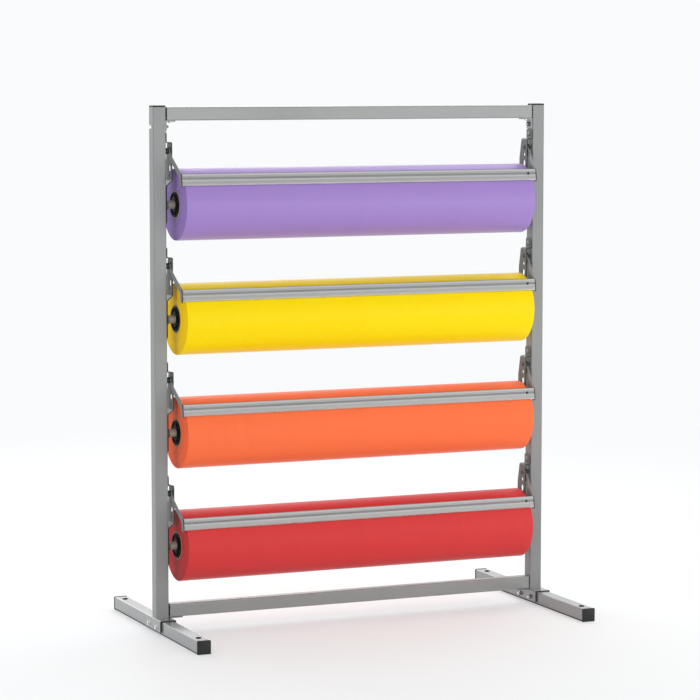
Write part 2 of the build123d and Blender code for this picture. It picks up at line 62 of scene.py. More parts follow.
SHARP = math.radians(32)
MIX_FACTOR, MIX_LOW, MIX_HIGH, MIX_RESULT = 0, 6, 7, 2
Colour = tuple[float, float, float, float]
Triple = tuple[float, float, float]
Term = Union["Wire", float]
Sockets = dict[str, Union["Wire", Colour, float]]


# Shader expressions


def display(red: int, green: int, blue: int) -> Colour:
    """Turns display values into a linear colour.

    Args:
        red: Red from 0 to 255, as a screen shows it.
        green: Green from 0 to 255.
        blue: Blue from 0 to 255.

    Returns:
        The linear colour with full alpha.
    """
    shares = np.array([red, green, blue]) / 255.0
    linear = np.where(shares <= 0.04045, shares / 12.92, ((shares + 0.055) / 1.055) ** 2.4)
    return (*linear.tolist(), 1.0)


def toned(colour: Colour, factor: float) -> Colour:
    """The colour made darker or lighter by a factor."""
    return (*(min(1.0, channel * factor) for channel in colour[:3]), 1.0)


class Wire:
    """A shader value that stands in arithmetic, where each operator adds one Math node."""

    def __init__(self, canvas: "Canvas", socket: bpy.types.NodeSocket) -> None:
        """Keeps the socket and the canvas that it is on."""
        self.canvas = canvas
        self.socket = socket

    def _math(self, operation: str, *terms: Term) -> "Wire":
        """One Math node on the given terms."""
        return self.canvas.node("ShaderNodeMath", {"operation": operation}, dict(enumerate(terms)))

    def __add__(self, other: Term) -> "Wire":
        """The sum with another value."""
        return self._math("ADD", self, other)

    __radd__ = __add__

    def __sub__(self, other: Term) -> "Wire":
        """This value less another."""
        return self._math("SUBTRACT", self, other)

    def __rsub__(self, other: Term) -> "Wire":
        """Another value less this one."""
        return self._math("SUBTRACT", other, self)

    def __mul__(self, other: Term) -> "Wire":
        """The product with another value."""
        return self._math("MULTIPLY", self, other)

    __rmul__ = __mul__

    def __pow__(self, other: Term) -> "Wire":
        """This value to a power."""
        return self._math("POWER", self, other)

    def size(self) -> "Wire":
        """The value without its sign."""
        return self._math("ABSOLUTE", self)

    def maximum(self, other: Term) -> "Wire":
        """The larger of two values."""
        return self._math("MAXIMUM", self, other)

    def between(self, low: float, high: float) -> "Wire":
        """A smooth step that is 0 at low and 1 at high."""
        inputs = {"Value": self, "From Min": low, "From Max": high}
        return self.canvas.node("ShaderNodeMapRange", {"interpolation_type": "SMOOTHSTEP"}, inputs)


class Canvas:
    """A node tree that finishes are drawn on."""

    def __init__(self, owner: Union[bpy.types.Material, bpy.types.World]) -> None:
        """Empties the owner's tree.

        Args:
            owner: The material or world whose surface is drawn.
        """
        owner.use_nodes = True
        self.owner = owner
        self.tree = owner.node_tree
        self.tree.nodes.clear()

    def node(
        self,
        kind: str,
        settings: Optional[dict] = None,
        inputs: Optional[dict] = None,
        output: Union[int, str] = 0,
    ) -> Optional[Wire]:
        """Adds a node.

        Args:
            kind: The node's type.
            settings: Its own settings, set first.
            inputs: Values or wires for its sockets, by name or number.
            output: Which of its outputs is wanted.

        Returns:
            The wanted output, or nothing where the node has none.
        """
        made = self.tree.nodes.new(kind)
        for key, value in (settings or {}).items():
            setattr(made, key, value)
        for key, value in (inputs or {}).items():
            if isinstance(value, Wire):
                self.tree.links.new(value.socket, made.inputs[key])
            else:
                made.inputs[key].default_value = value
        return Wire(self, made.outputs[output]) if len(made.outputs) else None

    def place(self) -> Wire:
        """The point on the piece, in the rack's own frame."""
        return self.node("ShaderNodeTexCoord", output="Object")

    def stretched(self, place: Wire, scale: Triple) -> Wire:
        """The place with each axis scaled, so that a pattern is drawn out along an axis."""
        inputs = {"Vector": place, "Scale": scale}
        return self.node("ShaderNodeMapping", {"vector_type": "POINT"}, inputs)

    def axes(self, place: Wire) -> tuple[Wire, Wire, Wire]:
        """The three parts of a place."""
        split = self.node("ShaderNodeSeparateXYZ", inputs={"Vector": place})
        return tuple(Wire(self, socket) for socket in split.socket.node.outputs)

    def noise(self, place: Wire, size: float, detail: float) -> Wire:
        """Cloudy noise whose patches are about one size across."""
        inputs = {"Vector": place, "Scale": 1.0 / size, "Detail": detail}
        return self.node("ShaderNodeTexNoise", inputs=inputs)

    def bands(self, along: Wire, size: float, detail: float) -> Wire:
        """Noise along one measure alone, which draws uneven bands."""
        inputs = {"W": along, "Scale": 1.0 / size, "Detail": detail}
        return self.node("ShaderNodeTexNoise", {"noise_dimensions": "1D"}, inputs)

    def mix(self, factor: Term, low: Union[Wire, Colour], high: Union[Wire, Colour]) -> Wire:
        """A colour between two others, by the Mix node's colour sockets."""
        inputs = {MIX_FACTOR: factor, MIX_LOW: low, MIX_HIGH: high}
        return self.node("ShaderNodeMix", {"data_type": "RGBA"}, inputs, MIX_RESULT)

    def bump(self, height: Wire, depth: float, strength: float) -> Wire:
        """A normal bent by a height from 0 to 1 that stands for a depth."""
        inputs = {"Height": height, "Distance": depth, "Strength": strength}
        return self.node("ShaderNodeBump", inputs=inputs)

    def surface(self, sockets: Sockets) -> bpy.types.Material:
        """Ends the tree in one principled surface.

        Args:
            sockets: Values or wires for the shader's sockets.

        Returns:
            The finished material.
        """
        shader = self.node("ShaderNodeBsdfPrincipled", inputs=sockets)
        self.node("ShaderNodeOutputMaterial", inputs={"Surface": shader})
        return self.owner


# Finishes


class Axis(Enum):
    """The rack's axes, by the number of their coordinate."""

    X = 0
    Y = 1
    Z = 2


class Slot(Enum):
    """The record's material slots, whose names start the paper finishes' names."""

    CUTTER = "cutter_paint"
    BLADE = "blade_steel"
    ZINC = "zinc_steel"
    BLACK = "black_steel"
    PLASTIC = "black_plastic"
    PURPLE = "paper_purple"
    YELLOW = "paper_yellow"
    ORANGE = "paper_orange"
    RED = "paper_red"


@dataclass(frozen=True)
class Finish:
    """A named surface finish of one main colour."""

    name: str
    colour: Colour

    def material(self) -> bpy.types.Material:
        """The finish as a material, drawn the first time that it is asked for."""
        found = bpy.data.materials.get(self.name)
        return found or self.draw(Canvas(bpy.data.materials.new(self.name)))

    def draw(self, canvas: Canvas) -> bpy.types.Material:
        """Draws the finish on an empty canvas."""
        return canvas.surface(self.sockets(canvas))

    def sockets(self, canvas: Canvas) -> Sockets:
        """Draws what feeds the surface's sockets."""
        raise NotImplementedError

    def shaded(self, canvas: Canvas, tone: Wire, dark: float, light: float) -> Wire:
        """The colour times a factor that goes from dark to light as the tone goes from 0 to 1."""
        return canvas.mix(tone, toned(self.colour, dark), toned(self.colour, light))


@dataclass(frozen=True)
class PowderCoat(Finish):
    """Satin powder coat: a slightly cloudy colour under a fine orange-peel skin."""

    roughness: float = 0.22
    gloss: float = 0.5
    lacquer: float = 0.25
    cloud_size: float = 120 * MM
    grain_size: float = 0.5 * MM
    peel_size: float = 2.4 * MM
    peel_depth: float = 0.012 * MM
    lacquer_roughness: float = 0.10

    def sockets(self, canvas: Canvas) -> Sockets:
        """Draws slow clouds, fine flecks and the peel.

        Args:
            canvas: The tree that they are drawn on.

        Returns:
            The surface's sockets.
        """
        place = canvas.place()
        cloud = canvas.noise(place, self.cloud_size, 3.0)
        grain = canvas.noise(place, self.grain_size, 1.0)
        tint = self.shaded(canvas, cloud, 0.955, 1.045)
        fleck = grain.between(0.45, 0.75) * 0.22
        peel = canvas.noise(place, self.peel_size, 2.0)
        return {
            "Base Color": canvas.mix(fleck, tint, toned(self.colour, 1.25)),
            "Roughness": self.roughness + 0.12 * (cloud - 0.5) + 0.08 * (grain - 0.5),
            "Normal": canvas.bump(peel, self.peel_depth, 0.6),
            "Specular IOR Level": self.gloss,
            "Coat Weight": self.lacquer,
            "Coat Roughness": self.lacquer_roughness,
        }

    def with_painted_shade(self, name: str, *bands: "Band") -> "PaintedShadeCoat":
        """The coat under another name, with painted shade where the bands meet."""
        return PaintedShadeCoat(name, self.colour, self.roughness, self.gloss, self.lacquer, bands=bands)


@dataclass(frozen=True)
class Band:
    """A range of one coordinate's size, in metres."""

    axis: Axis
    low: float
    high: float
    blur: float = 0.02 * MM

    def mask(self, axes: tuple[Wire, Wire, Wire]) -> Wire:
        """A mask of the range.

        Args:
            axes: The three coordinates.

        Returns:
            1 within the range and 0 outside it.
        """
        reach = axes[self.axis.value].size()
        above = reach.between(self.low - self.blur, self.low + self.blur)
        return above * (1.0 - reach.between(self.high - self.blur, self.high + self.blur))


@dataclass(frozen=True)
class PaintedShadeCoat(PowderCoat):
    """Powder coat darkened as painted shade where all the bands meet, and dull there like a bare cut
    edge.
    """

    bands: tuple[Band, ...] = ()
    painted_shade_tone: float = 0.16
    edge_roughness: float = 0.85

    def sockets(self, canvas: Canvas) -> Sockets:
        """Draws the coat, and within the bands darkens it as painted shade and dulls it.

        Args:
            canvas: The tree that it is drawn on.

        Returns:
            The surface's sockets.
        """
        plain = super().sockets(canvas)
        axes = canvas.axes(canvas.place())
        masks = [band.mask(axes) for band in self.bands]
        # The mask where all the bands meet, where the colour is darkened as painted shade.
        edge = math.prod(masks[1:], start=masks[0])
        return plain | {
            "Base Color": canvas.mix(edge, plain["Base Color"], toned(self.colour, self.painted_shade_tone)),
            "Roughness": plain["Roughness"] * (1.0 - edge) + self.edge_roughness * edge,
            "Coat Weight": self.lacquer * (1.0 - edge),
        }


@dataclass(frozen=True)
class PlatedSteel(Finish):
    """Plated or blackened hardware with faint turning marks and tarnish."""

    roughness: float
    metallic: float = 1.0
    tarnish_size: float = 7 * MM
    mark_size: float = 0.4 * MM
    mark_depth: float = 0.02 * MM

    def sockets(self, canvas: Canvas) -> Sockets:
        """Draws the tarnish and the marks.

        Args:
            canvas: The tree that they are drawn on.

        Returns:
            The surface's sockets.
        """
        place = canvas.place()
        tarnish = canvas.noise(place, self.tarnish_size, 4.0)
        marks = canvas.noise(place, self.mark_size, 2.0)
        return {
            "Base Color": self.shaded(canvas, tarnish, 0.82, 1.1),
            "Roughness": self.roughness + 0.22 * (tarnish - 0.5),
            "Metallic": self.metallic,
            "Normal": canvas.bump(marks, self.mark_depth, 0.5),
        }


@dataclass(frozen=True)
class DrawnSteel(Finish):
    """Plain drawn or ground steel with fine lines along X."""

    roughness: float
    metallic: float
    line_size: float = 0.7 * MM
    line_depth: float = 0.03 * MM
    stain_size: float = 55 * MM

    def sockets(self, canvas: Canvas) -> Sockets:
        """Draws the lines and a slow change of tone along them.

        Args:
            canvas: The tree that they are drawn on.

        Returns:
            The surface's sockets.
        """
        place = canvas.place()
        lines = canvas.noise(canvas.stretched(place, (0.012, 1.0, 1.0)), self.line_size, 3.0)
        stain = canvas.noise(place, self.stain_size, 4.0)
        return {
            "Base Color": self.shaded(canvas, 0.6 * lines + 0.4 * stain, 0.84, 1.14),
            "Roughness": self.roughness + 0.18 * (lines - 0.5) + 0.10 * (stain - 0.5),
            "Metallic": self.metallic,
            "Normal": canvas.bump(lines, self.line_depth, 0.5),
        }


@dataclass(frozen=True)
class MouldedPlastic(Finish):
    """Black moulded plastic with a fine spark-eroded grain."""

    roughness: float = 0.46
    gloss: float = 0.30
    grain_size: float = 0.7 * MM
    grain_depth: float = 0.05 * MM
    scuff_size: float = 11 * MM

    def sockets(self, canvas: Canvas) -> Sockets:
        """Draws the grain and a little dust-pale scuffing.

        Args:
            canvas: The tree that they are drawn on.

        Returns:
            The surface's sockets.
        """
        place = canvas.place()
        grain = canvas.noise(place, self.grain_size, 3.0)
        scuff = canvas.noise(place, self.scuff_size, 5.0)
        return {
            "Base Color": self.shaded(canvas, scuff.between(0.45, 0.8), 1.0, 1.7),
            "Roughness": self.roughness + 0.16 * (scuff - 0.5) + 0.10 * (grain - 0.5),
            "Normal": canvas.bump(grain, self.grain_depth, 0.7),
            "Specular IOR Level": self.gloss,
        }


@dataclass(frozen=True)
class DyedPaper(Finish):
    """The smooth outer turn of a dyed paper roll: fibre flecks and soft tension bands."""

    roughness: float = 0.44
    gloss: float = 0.10
    sheen: float = 0.20
    sheen_roughness: float = 0.3
    fibre_size: float = 0.9 * MM
    mottle_size: float = 16 * MM
    band_size: float = 70 * MM
    relief: float = 0.05 * MM

    def sockets(self, canvas: Canvas) -> Sockets:
        """Draws fibres drawn out round the roll, mottling, and bands along X.

        Args:
            canvas: The tree that they are drawn on.

        Returns:
            The surface's sockets.
        """
        place = canvas.place()
        fibre = canvas.noise(canvas.stretched(place, (1.0, 0.45, 0.45)), self.fibre_size, 4.0)
        mottle = canvas.noise(place, self.mottle_size, 3.0)
        along, _, _ = canvas.axes(place)
        band = canvas.bands(along, self.band_size, 2.0)
        tone = 0.45 * fibre + 0.30 * mottle + 0.25 * band
        return {
            "Base Color": self.shaded(canvas, tone, 0.90, 1.09),
            "Roughness": self.roughness + 0.14 * (fibre - 0.5) + 0.10 * (mottle - 0.5),
            "Normal": canvas.bump(0.6 * fibre + 0.4 * mottle, self.relief, 0.6),
            "Specular IOR Level": self.gloss,
            "Sheen Weight": self.sheen,
            "Sheen Roughness": self.sheen_roughness,
        }


@dataclass(frozen=True)
class LayeredEnd(Finish):
    """The cut end of something wound: fine uneven rings about the roll's axis."""

    axis_z: float
    ring_size: float = 1.1 * MM
    contrast: float = 0.22
    roughness: float = 0.62
    gloss: float = 0.15
    wide_size: float = 9 * MM
    fibre_size: float = 0.8 * MM
    relief: float = 0.25 * MM

    def sockets(self, canvas: Canvas) -> Sockets:
        """Draws rings by the distance from the axis, the root of y squared plus height squared.

        Args:
            canvas: The tree that they are drawn on.

        Returns:
            The surface's sockets.
        """
        place = canvas.place()
        _, y, z = canvas.axes(place)
        height = z - self.axis_z
        radius = (y * y + height * height) ** 0.5
        ring = canvas.bands(radius, self.ring_size, 3.0)
        wide = canvas.bands(radius, self.wide_size, 1.0)
        fibre = canvas.noise(place, self.fibre_size, 3.0)
        tone = 0.55 * ring + 0.25 * wide + 0.20 * fibre
        return {
            "Base Color": self.shaded(canvas, tone.between(0.25, 0.75), 1.0 - self.contrast, 1.06),
            "Roughness": self.roughness + 0.14 * (ring - 0.5),
            "Normal": canvas.bump(0.75 * ring + 0.25 * fibre, self.relief, 0.7),
            "Specular IOR Level": self.gloss,
        }


@dataclass(frozen=True)
class StudioFloor(Finish):
    """A pale floor that keeps shadows near the rack and fades into the white backdrop."""

    roughness: float = 0.62
    glow: float = 0.42
    fade_from: float = 1.2
    fade_to: float = 4.0
    cloud_size: float = 400 * MM

    def draw(self, canvas: Canvas) -> bpy.types.Material:
        """Draws a matt floor and, by distance from the rack, an even white for the camera.

        Args:
            canvas: The empty tree that it is drawn on.

        Returns:
            The finished material.
        """
        place = canvas.place()
        x, y, _ = canvas.axes(place)
        far = ((x * x + y * y) ** 0.5).between(self.fade_from, self.fade_to)
        cloud = canvas.noise(place, self.cloud_size, 2.0)
        tint = self.shaded(canvas, cloud, 0.985, 1.01)
        sockets = {"Base Color": tint, "Roughness": self.roughness}
        matt = canvas.node("ShaderNodeBsdfPrincipled", inputs=sockets)
        white = canvas.node("ShaderNodeEmission", inputs={"Color": BACKDROP, "Strength": 1.0})
        seen = (self.glow + (1.0 - self.glow) * far) * seen_directly(canvas)
        shown = canvas.node("ShaderNodeMixShader", inputs={0: seen, 1: matt, 2: white})
        canvas.node("ShaderNodeOutputMaterial", inputs={"Surface": shown})
        return canvas.owner


def seen_directly(canvas: Canvas) -> Wire:
    """A mask for the rays that show the backdrop: camera, mirror-like and through rays.

    Args:
        canvas: The tree that the mask is drawn on.

    Returns:
        1 for those rays and 0 for the light that falls on the rack.
    """
    kinds = ("Is Camera Ray", "Is Glossy Ray", "Is Transmission Ray")
    path = canvas.node("ShaderNodeLightPath").socket.node
    camera, glossy, through = (Wire(canvas, path.outputs[kind]) for kind in kinds)
    return camera.maximum(glossy).maximum(through)


BACKDROP = display(250, 251, 252)
FLOOR_PALE = (0.876, 0.905, 0.91, 1.0)
FRAME_COAT = PowderCoat("satin_grey_coat", display(140, 142, 141))
# POST_COAT and FOOT_COAT (feet and saddles) are darker copies of the frame's grey, as painted shade
# against how brightly they are lit; the feet's copy is also cooler, to offset red light thrown up by
# the lowest roll.
FOOT_COAT = PowderCoat("foot_grey_coat", display(128, 131, 131), 0.20, lacquer=0.7)
POST_COAT = PowderCoat("post_grey_coat", display(135, 137, 136), gloss=0.3, lacquer=0.12)
BRACKET_COAT = PowderCoat("bracket_grey_coat", display(108, 109, 108), 0.40, 0.2, lacquer=0.05)
ARM_COAT = PowderCoat("arm_grey_coat", display(130, 131, 130), 0.36, 0.2, lacquer=0.05)
CUTTER_COAT = PowderCoat("cutter_silver_coat", display(150, 151, 150), 0.34)
# Copies of the cutter's coat: a lighter one as painted highlight on slopes that face up, darker ones
# as painted shade in the groove and painted shadow at the hem's top edge.
RIDGE_HIGHLIGHT_COAT = PowderCoat("cutter_ridge_coat", display(183, 184, 183), 0.30)
GROOVE_SHADE_COAT = PowderCoat("cutter_groove_coat", display(122, 123, 122), 0.50)
TOP_EDGE_SHADOW_COAT = PowderCoat("cutter_seam_coat", display(60, 60, 60), 0.50)
BLADE_STEEL = DrawnSteel("ground_blade_steel", display(152, 152, 150), 0.40, metallic=0.20)
BEVEL_STEEL = DrawnSteel("bevelled_blade_steel", display(206, 206, 203), 0.28, metallic=0.75)
ROD_STEEL = DrawnSteel("drawn_rod_steel", display(172, 162, 150), 0.40, metallic=0.15)
ZINC = PlatedSteel("zinc_plated_steel", display(230, 230, 228), 0.18)
SCREW_STEEL = PlatedSteel("dulled_zinc", display(150, 150, 148), 0.30)
DULL_STEEL = PlatedSteel("dull_steel", display(96, 96, 95), 0.48, metallic=0.4)
BLACK_STEEL = PlatedSteel("blackened_steel", display(30, 30, 31), 0.42, metallic=0.3)
BLACK_PLASTIC = MouldedPlastic("black_moulded_plastic", display(26, 26, 27))
PLUG_PLASTIC = MouldedPlastic("black_plug_plastic", display(11, 11, 12), 0.58, gloss=0.10)
CORE_CREAM = display(168, 150, 122)


@dataclass(frozen=True)
class Stock:
    """A roll's paper: its slot, the colours of its skin and of its ends, and the skin's gloss."""

    slot: Slot
    skin: Colour
    ends: Colour
    gloss: float


PAPERS = {
    # The ends' colours are a little darker than the skins': partly the cut paper's own tone, partly
    # painted shade.
    1: Stock(Slot.PURPLE, display(157, 126, 197), display(150, 122, 189), 0.40),
    2: Stock(Slot.YELLOW, display(255, 217, 2), display(255, 206, 0), 0.12),
    3: Stock(Slot.ORANGE, display(255, 116, 70), display(245, 106, 62), 0.08),
    4: Stock(Slot.RED, display(212, 63, 64), display(194, 58, 60), 0.08),
}


# Surfaces


@dataclass
class Skin:
    """A surface on a grid of two parameters, in one or more copies.

    points is (copies, rows, columns, 3), or (rows, columns, 3) for one copy. Rows run along the
    first parameter and columns along the second. The last column joins the first. wrap_rows joins
    the last row to the first, and capped closes those two rows with flat faces.
    """

    points: np.ndarray
    wrap_rows: bool = False
    capped: bool = False
    finish: int = 0
    row_finish: Optional[np.ndarray] = None
    column_finish: Optional[np.ndarray] = None

    def __post_init__(self) -> None:
        """Gives a single grid its copy axis."""
        if self.points.ndim == 3:
            self.points = self.points[None]

    def faces(self) -> tuple[np.ndarray, np.ndarray, np.ndarray]:
        """Works out the faces of one copy, facing outwards.

        A quad joins (i, j), (i, j + 1), (i + 1, j + 1) and (i + 1, j). The enclosed volume, the sum
        of a . (b x c) over the triangles, tells whether they all have to be turned round.

        Returns:
            The quads, the caps, and the finish number of each quad.
        """
        _, rows, columns, _ = self.points.shape
        strips = np.arange(rows if self.wrap_rows else rows - 1)
        i, j = np.meshgrid(strips, np.arange(columns), indexing="ij")
        below, beside = (i + 1) % rows, (j + 1) % columns
        first, second = i * columns, below * columns
        corners = (first + j, first + beside, second + beside, second + j)
        quads = np.stack(corners, axis=-1).reshape(-1, 4)
        caps = np.zeros((0, columns), int)
        if self.capped:
            ring = np.arange(columns)
            caps = np.stack([ring[::-1], (rows - 1) * columns + ring])
        fans = [fan(cap) for cap in caps]
        triangles = np.concatenate([quads[:, [0, 1, 2]], quads[:, [0, 2, 3]], *fans])
        flat = self.points[0].reshape(-1, 3)
        a, b, c = ((flat - flat.mean(0))[triangles[:, corner]] for corner in range(3))
        if np.einsum("ij,ij->", a, np.cross(b, c)) < 0:
            quads, caps = quads[:, ::-1], caps[:, ::-1]
        numbers = np.full(len(quads), self.finish)
        if self.row_finish is not None:
            numbers = self.row_finish[i.reshape(-1)]
        if self.column_finish is not None:
            numbers = self.column_finish[j.reshape(-1)]
        return quads, caps, numbers


def fan(ring: np.ndarray) -> np.ndarray:
    """The triangles from a ring's first corner to its other sides."""
    first = np.full(len(ring) - 2, ring[0])
    return np.stack([first, ring[1:-1], ring[2:]], axis=-1)


def add_object(name: str, data: bpy.types.ID) -> bpy.types.Object:
    """A new object of the given data, linked to the scene.

    Args:
        name: The object's name.
        data: Its mesh, lamp or camera.

    Returns:
        The new object.
    """
    made = bpy.data.objects.new(name, data)
    bpy.context.scene.collection.objects.link(made)
    return made


def make_piece(
    name: str,
    skins: list[Skin],
    finishes: list[Finish],
    body: str,
    slot: Slot,
    *replaced: str,
) -> None:
    """Makes one object of several skins, rides it on a body and hides the solids that it stands for.

    Args:
        name: The piece's name.
        skins: Its surfaces, already in place in the rack's frame.
        finishes: Its finishes, which the skins number from 0.
        body: The moving body that carries it.
        slot: Not used.
        replaced: The solids that it is shown in place of.
    """
    points, faces, numbers, start = [], [], [], 0
    for skin in skins:
        quads, caps, quad_finish = skin.faces()
        copies, rows, columns, _ = skin.points.shape
        shifts = start + np.arange(copies)[:, None, None] * rows * columns
        points.append(skin.points.reshape(-1, 3))
        faces += (quads[None] + shifts).reshape(-1, 4).tolist()
        faces += (caps[None] + shifts).reshape(-1, columns).tolist()
        numbers.append(np.tile(quad_finish, copies))
        numbers.append(np.full(copies * len(caps), quad_finish[0]))
        start += copies * rows * columns
    mesh = bpy.data.meshes.new(name)
    mesh.from_pydata(np.concatenate(points).tolist(), [], faces)
    mesh.polygons.foreach_set("material_index", np.concatenate(numbers).astype(np.int32))
    mesh.polygons.foreach_set("use_smooth", np.ones(len(mesh.polygons), dtype=bool))
    mesh.set_sharp_from_angle(angle=SHARP)
    for finish in finishes:
        mesh.materials.append(finish.material())
    mesh.update()
    made = add_object(name, mesh)
    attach(made, body)
    if replaced:
        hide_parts(*replaced)
    log.info("piece %s: %d faces on %s", name, len(mesh.polygons), body)


def dress(node: str, finish: Finish) -> None:
    """Gives a solid its finish in every material place that it has.

    Args:
        node: The solid's name.
        finish: The finish that it gets.
    """
    materials = frame["nodes"][node].data.materials
    materials.clear()
    materials.append(finish.material())
    log.info("solid %s: %s", node, finish.name)


def facing(direction: Triple) -> np.ndarray:
    """A turn that takes local +Z to a direction.

    Args:
        direction: A unit vector.

    Returns:
        The rows are the places of local X, Y and Z.
    """
    forward = np.array(direction, float)
    helper = np.array([0.0, 0.0, 1.0] if abs(forward[2]) < 0.9 else [0.0, 1.0, 0.0])
    across = np.cross(helper, forward)
    across /= np.linalg.norm(across)
    return np.stack([across, np.cross(forward, across), forward])


def copies_at(local: np.ndarray, places: list[Triple], direction: Triple) -> np.ndarray:
    """Copies of a grid (rows, columns, 3), each with its local +Z turned to a direction."""
    return np.array(places, float)[:, None, None, :] + (local @ facing(direction))[None]


def both_ends(local: np.ndarray, places: list[Triple], inward: bool = False) -> Skin:
    """Copies at places on the right, and their turned copies on the left, as one skin.

    Args:
        local: Points (rows, columns, 3) about local +Z.
        places: Places on the right-hand side.
        inward: Whether local +Z points to the rack's middle, rather than away from it.

    Returns:
        A capped skin of all the copies.
    """
    way = -1.0 if inward else 1.0
    left = [(-x, y, z) for x, y, z in places]
    right_side = copies_at(local, places, (way, 0.0, 0.0))
    left_side = copies_at(local, left, (-way, 0.0, 0.0))
    return Skin(np.concatenate([right_side, left_side]), capped=True)


def soft_corners(corners: list[tuple[float, float]], cut: float, steps: int = 4) -> np.ndarray:
    """A closed outline whose corners are eased.

    Each corner P becomes the arc (1 - s)^2 A + 2 s (1 - s) P + s^2 B, where A and B lie on its two
    sides, a cut away from it or a third of a shorter side.

    Args:
        corners: The outline's corners in order.
        cut: How far from a corner its easing starts.
        steps: Points in each arc.

    Returns:
        Points (corners times steps, 2).
    """
    corner = np.array(corners, float)
    before = np.roll(corner, 1, axis=0) - corner
    after = np.roll(corner, -1, axis=0) - corner
    long_before = np.linalg.norm(before, axis=1, keepdims=True)
    long_after = np.linalg.norm(after, axis=1, keepdims=True)
    start = corner + before / long_before * np.minimum(cut, long_before / 3)
    end = corner + after / long_after * np.minimum(cut, long_after / 3)
    s = np.linspace(0.0, 1.0, steps)[None, :, None]
    arc = (1 - s) ** 2 * start[:, None] + 2 * s * (1 - s) * corner[:, None] + s**2 * end[:, None]
    return arc.reshape(-1, 2)


def turned(heights: np.ndarray, radii: np.ndarray, columns: int) -> np.ndarray:
    """A surface of revolution about local +Z: (r cos a, r sin a, h).

    Args:
        heights: The height of each row.
        radii: The radius of each row, or of each row at each column.
        columns: Points round the axis.

    Returns:
        Points (rows, columns, 3).
    """
    angle = np.linspace(0.0, 2 * np.pi, columns, endpoint=False)
    radius = np.broadcast_to(radii if radii.ndim == 2 else radii[:, None], (len(heights), columns))
    height = np.broadcast_to(heights[:, None], radius.shape)
    return np.stack([radius * np.cos(angle), radius * np.sin(angle), height], axis=-1)


def hexagon(columns: int) -> np.ndarray:
    """A hexagon's radius over half its flats: 1 over the cosine from the nearest flat."""
    angle = np.linspace(0.0, 2 * np.pi, columns, endpoint=False)
    return 1.0 / np.cos((angle + np.pi / 6) % (np.pi / 3) - np.pi / 6)


# Fasteners


@dataclass(frozen=True)
class HexNut:
    """A six-sided nut with a washer-like chamfer on both faces."""

    flats: float
    height: float
    columns: int = 48

    def grid(self) -> np.ndarray:
        """The nut above zero: at each height the smaller of the hexagon and a chamfer cone.

        Returns:
            Points (rows, columns, 3).
        """
        half = self.flats / 2
        share = np.array([0.0, 0.0, 0.1, 0.2, 0.8, 0.9, 1.0, 1.0])
        cone = half * np.array([0.5, 0.96, 1.08, 1.16, 1.16, 1.08, 0.96, 0.5])
        six = np.minimum(half * hexagon(self.columns)[None], cone[:, None])
        return turned(share * self.height, six, self.columns)


@dataclass(frozen=True)
class Bolt:
    """A bolt along local +Z, with its head below zero and a thread towards its tip."""

    radius: float
    reach: float
    thread: float
    pitch: float
    columns: int = 48
    turn_rows: int = 6
    thread_depth: float = 0.12
    tip_share: float = 0.72
    tip_slope: float = 0.3

    def shank(self) -> np.ndarray:
        """Rows of the shank and the thread, as height and radius.

        The thread's radius is r - d |2 frac(h / p - a / 2 pi) - 1|, cut by a cone at the tip, where
        d is the thread's depth, a share of r.

        Returns:
            Heights (rows,) and radii (rows, columns), stacked as (rows, columns + 1).
        """
        start = self.reach - self.thread
        rows = int(round(self.thread / self.pitch * self.turn_rows))
        height = np.concatenate([[0.0, start], np.linspace(start, self.reach, rows + 1)[1:]])
        angle = np.linspace(0.0, 1.0, self.columns, endpoint=False)
        wave = np.abs(2.0 * ((height[:, None] / self.pitch - angle[None]) % 1.0) - 1.0)
        cut = np.where(height > start, self.thread_depth * self.radius, 0.0)[:, None]
        back = (self.reach - height) / self.pitch
        tip = self.radius * np.clip(self.tip_share + back * self.tip_slope, 0.0, 1.0)[:, None]
        return np.column_stack([height, np.minimum(self.radius - cut * wave, tip)])

    def head(self) -> np.ndarray:
        """Rows of the head, from its outer face to zero, as height and radius."""
        raise NotImplementedError

    def grid(self) -> np.ndarray:
        """The whole bolt as one closed surface.

        Returns:
            Points (rows, columns, 3).
        """
        rows = np.concatenate([self.head(), self.shank()])
        return turned(rows[:, 0], rows[:, 1:], self.columns)


@dataclass(frozen=True)
class HexBolt(Bolt):
    """A bolt with a six-sided head on a thin round flange."""

    flats: float = 10 * MM
    head_height: float = 4 * MM
    flange: float = 6.2 * MM

    def head(self) -> np.ndarray:
        """Rows from the chamfered outer face down to the flange.

        Returns:
            Heights and radii, stacked as (rows, columns + 1).
        """
        half = self.flats / 2
        share = np.array([0.94, 0.94, 1.0, 1.0, 0.92, 0.80, 0.30, 0.22, 0.20, 0.0])
        cone = half * np.array([0.2, 0.62, 0.70, 0.92, 1.08, 1.16, 1.16, 1.16, 9.0, 9.0])
        six = np.minimum(half * hexagon(self.columns)[None], cone[:, None])
        round_rows = np.array([False] * 8 + [True, True])[:, None]
        flange = np.array([0.0] * 8 + [0.96, 1.0])[:, None] * self.flange
        return np.column_stack([-share * self.head_height, np.where(round_rows, flange, six)])


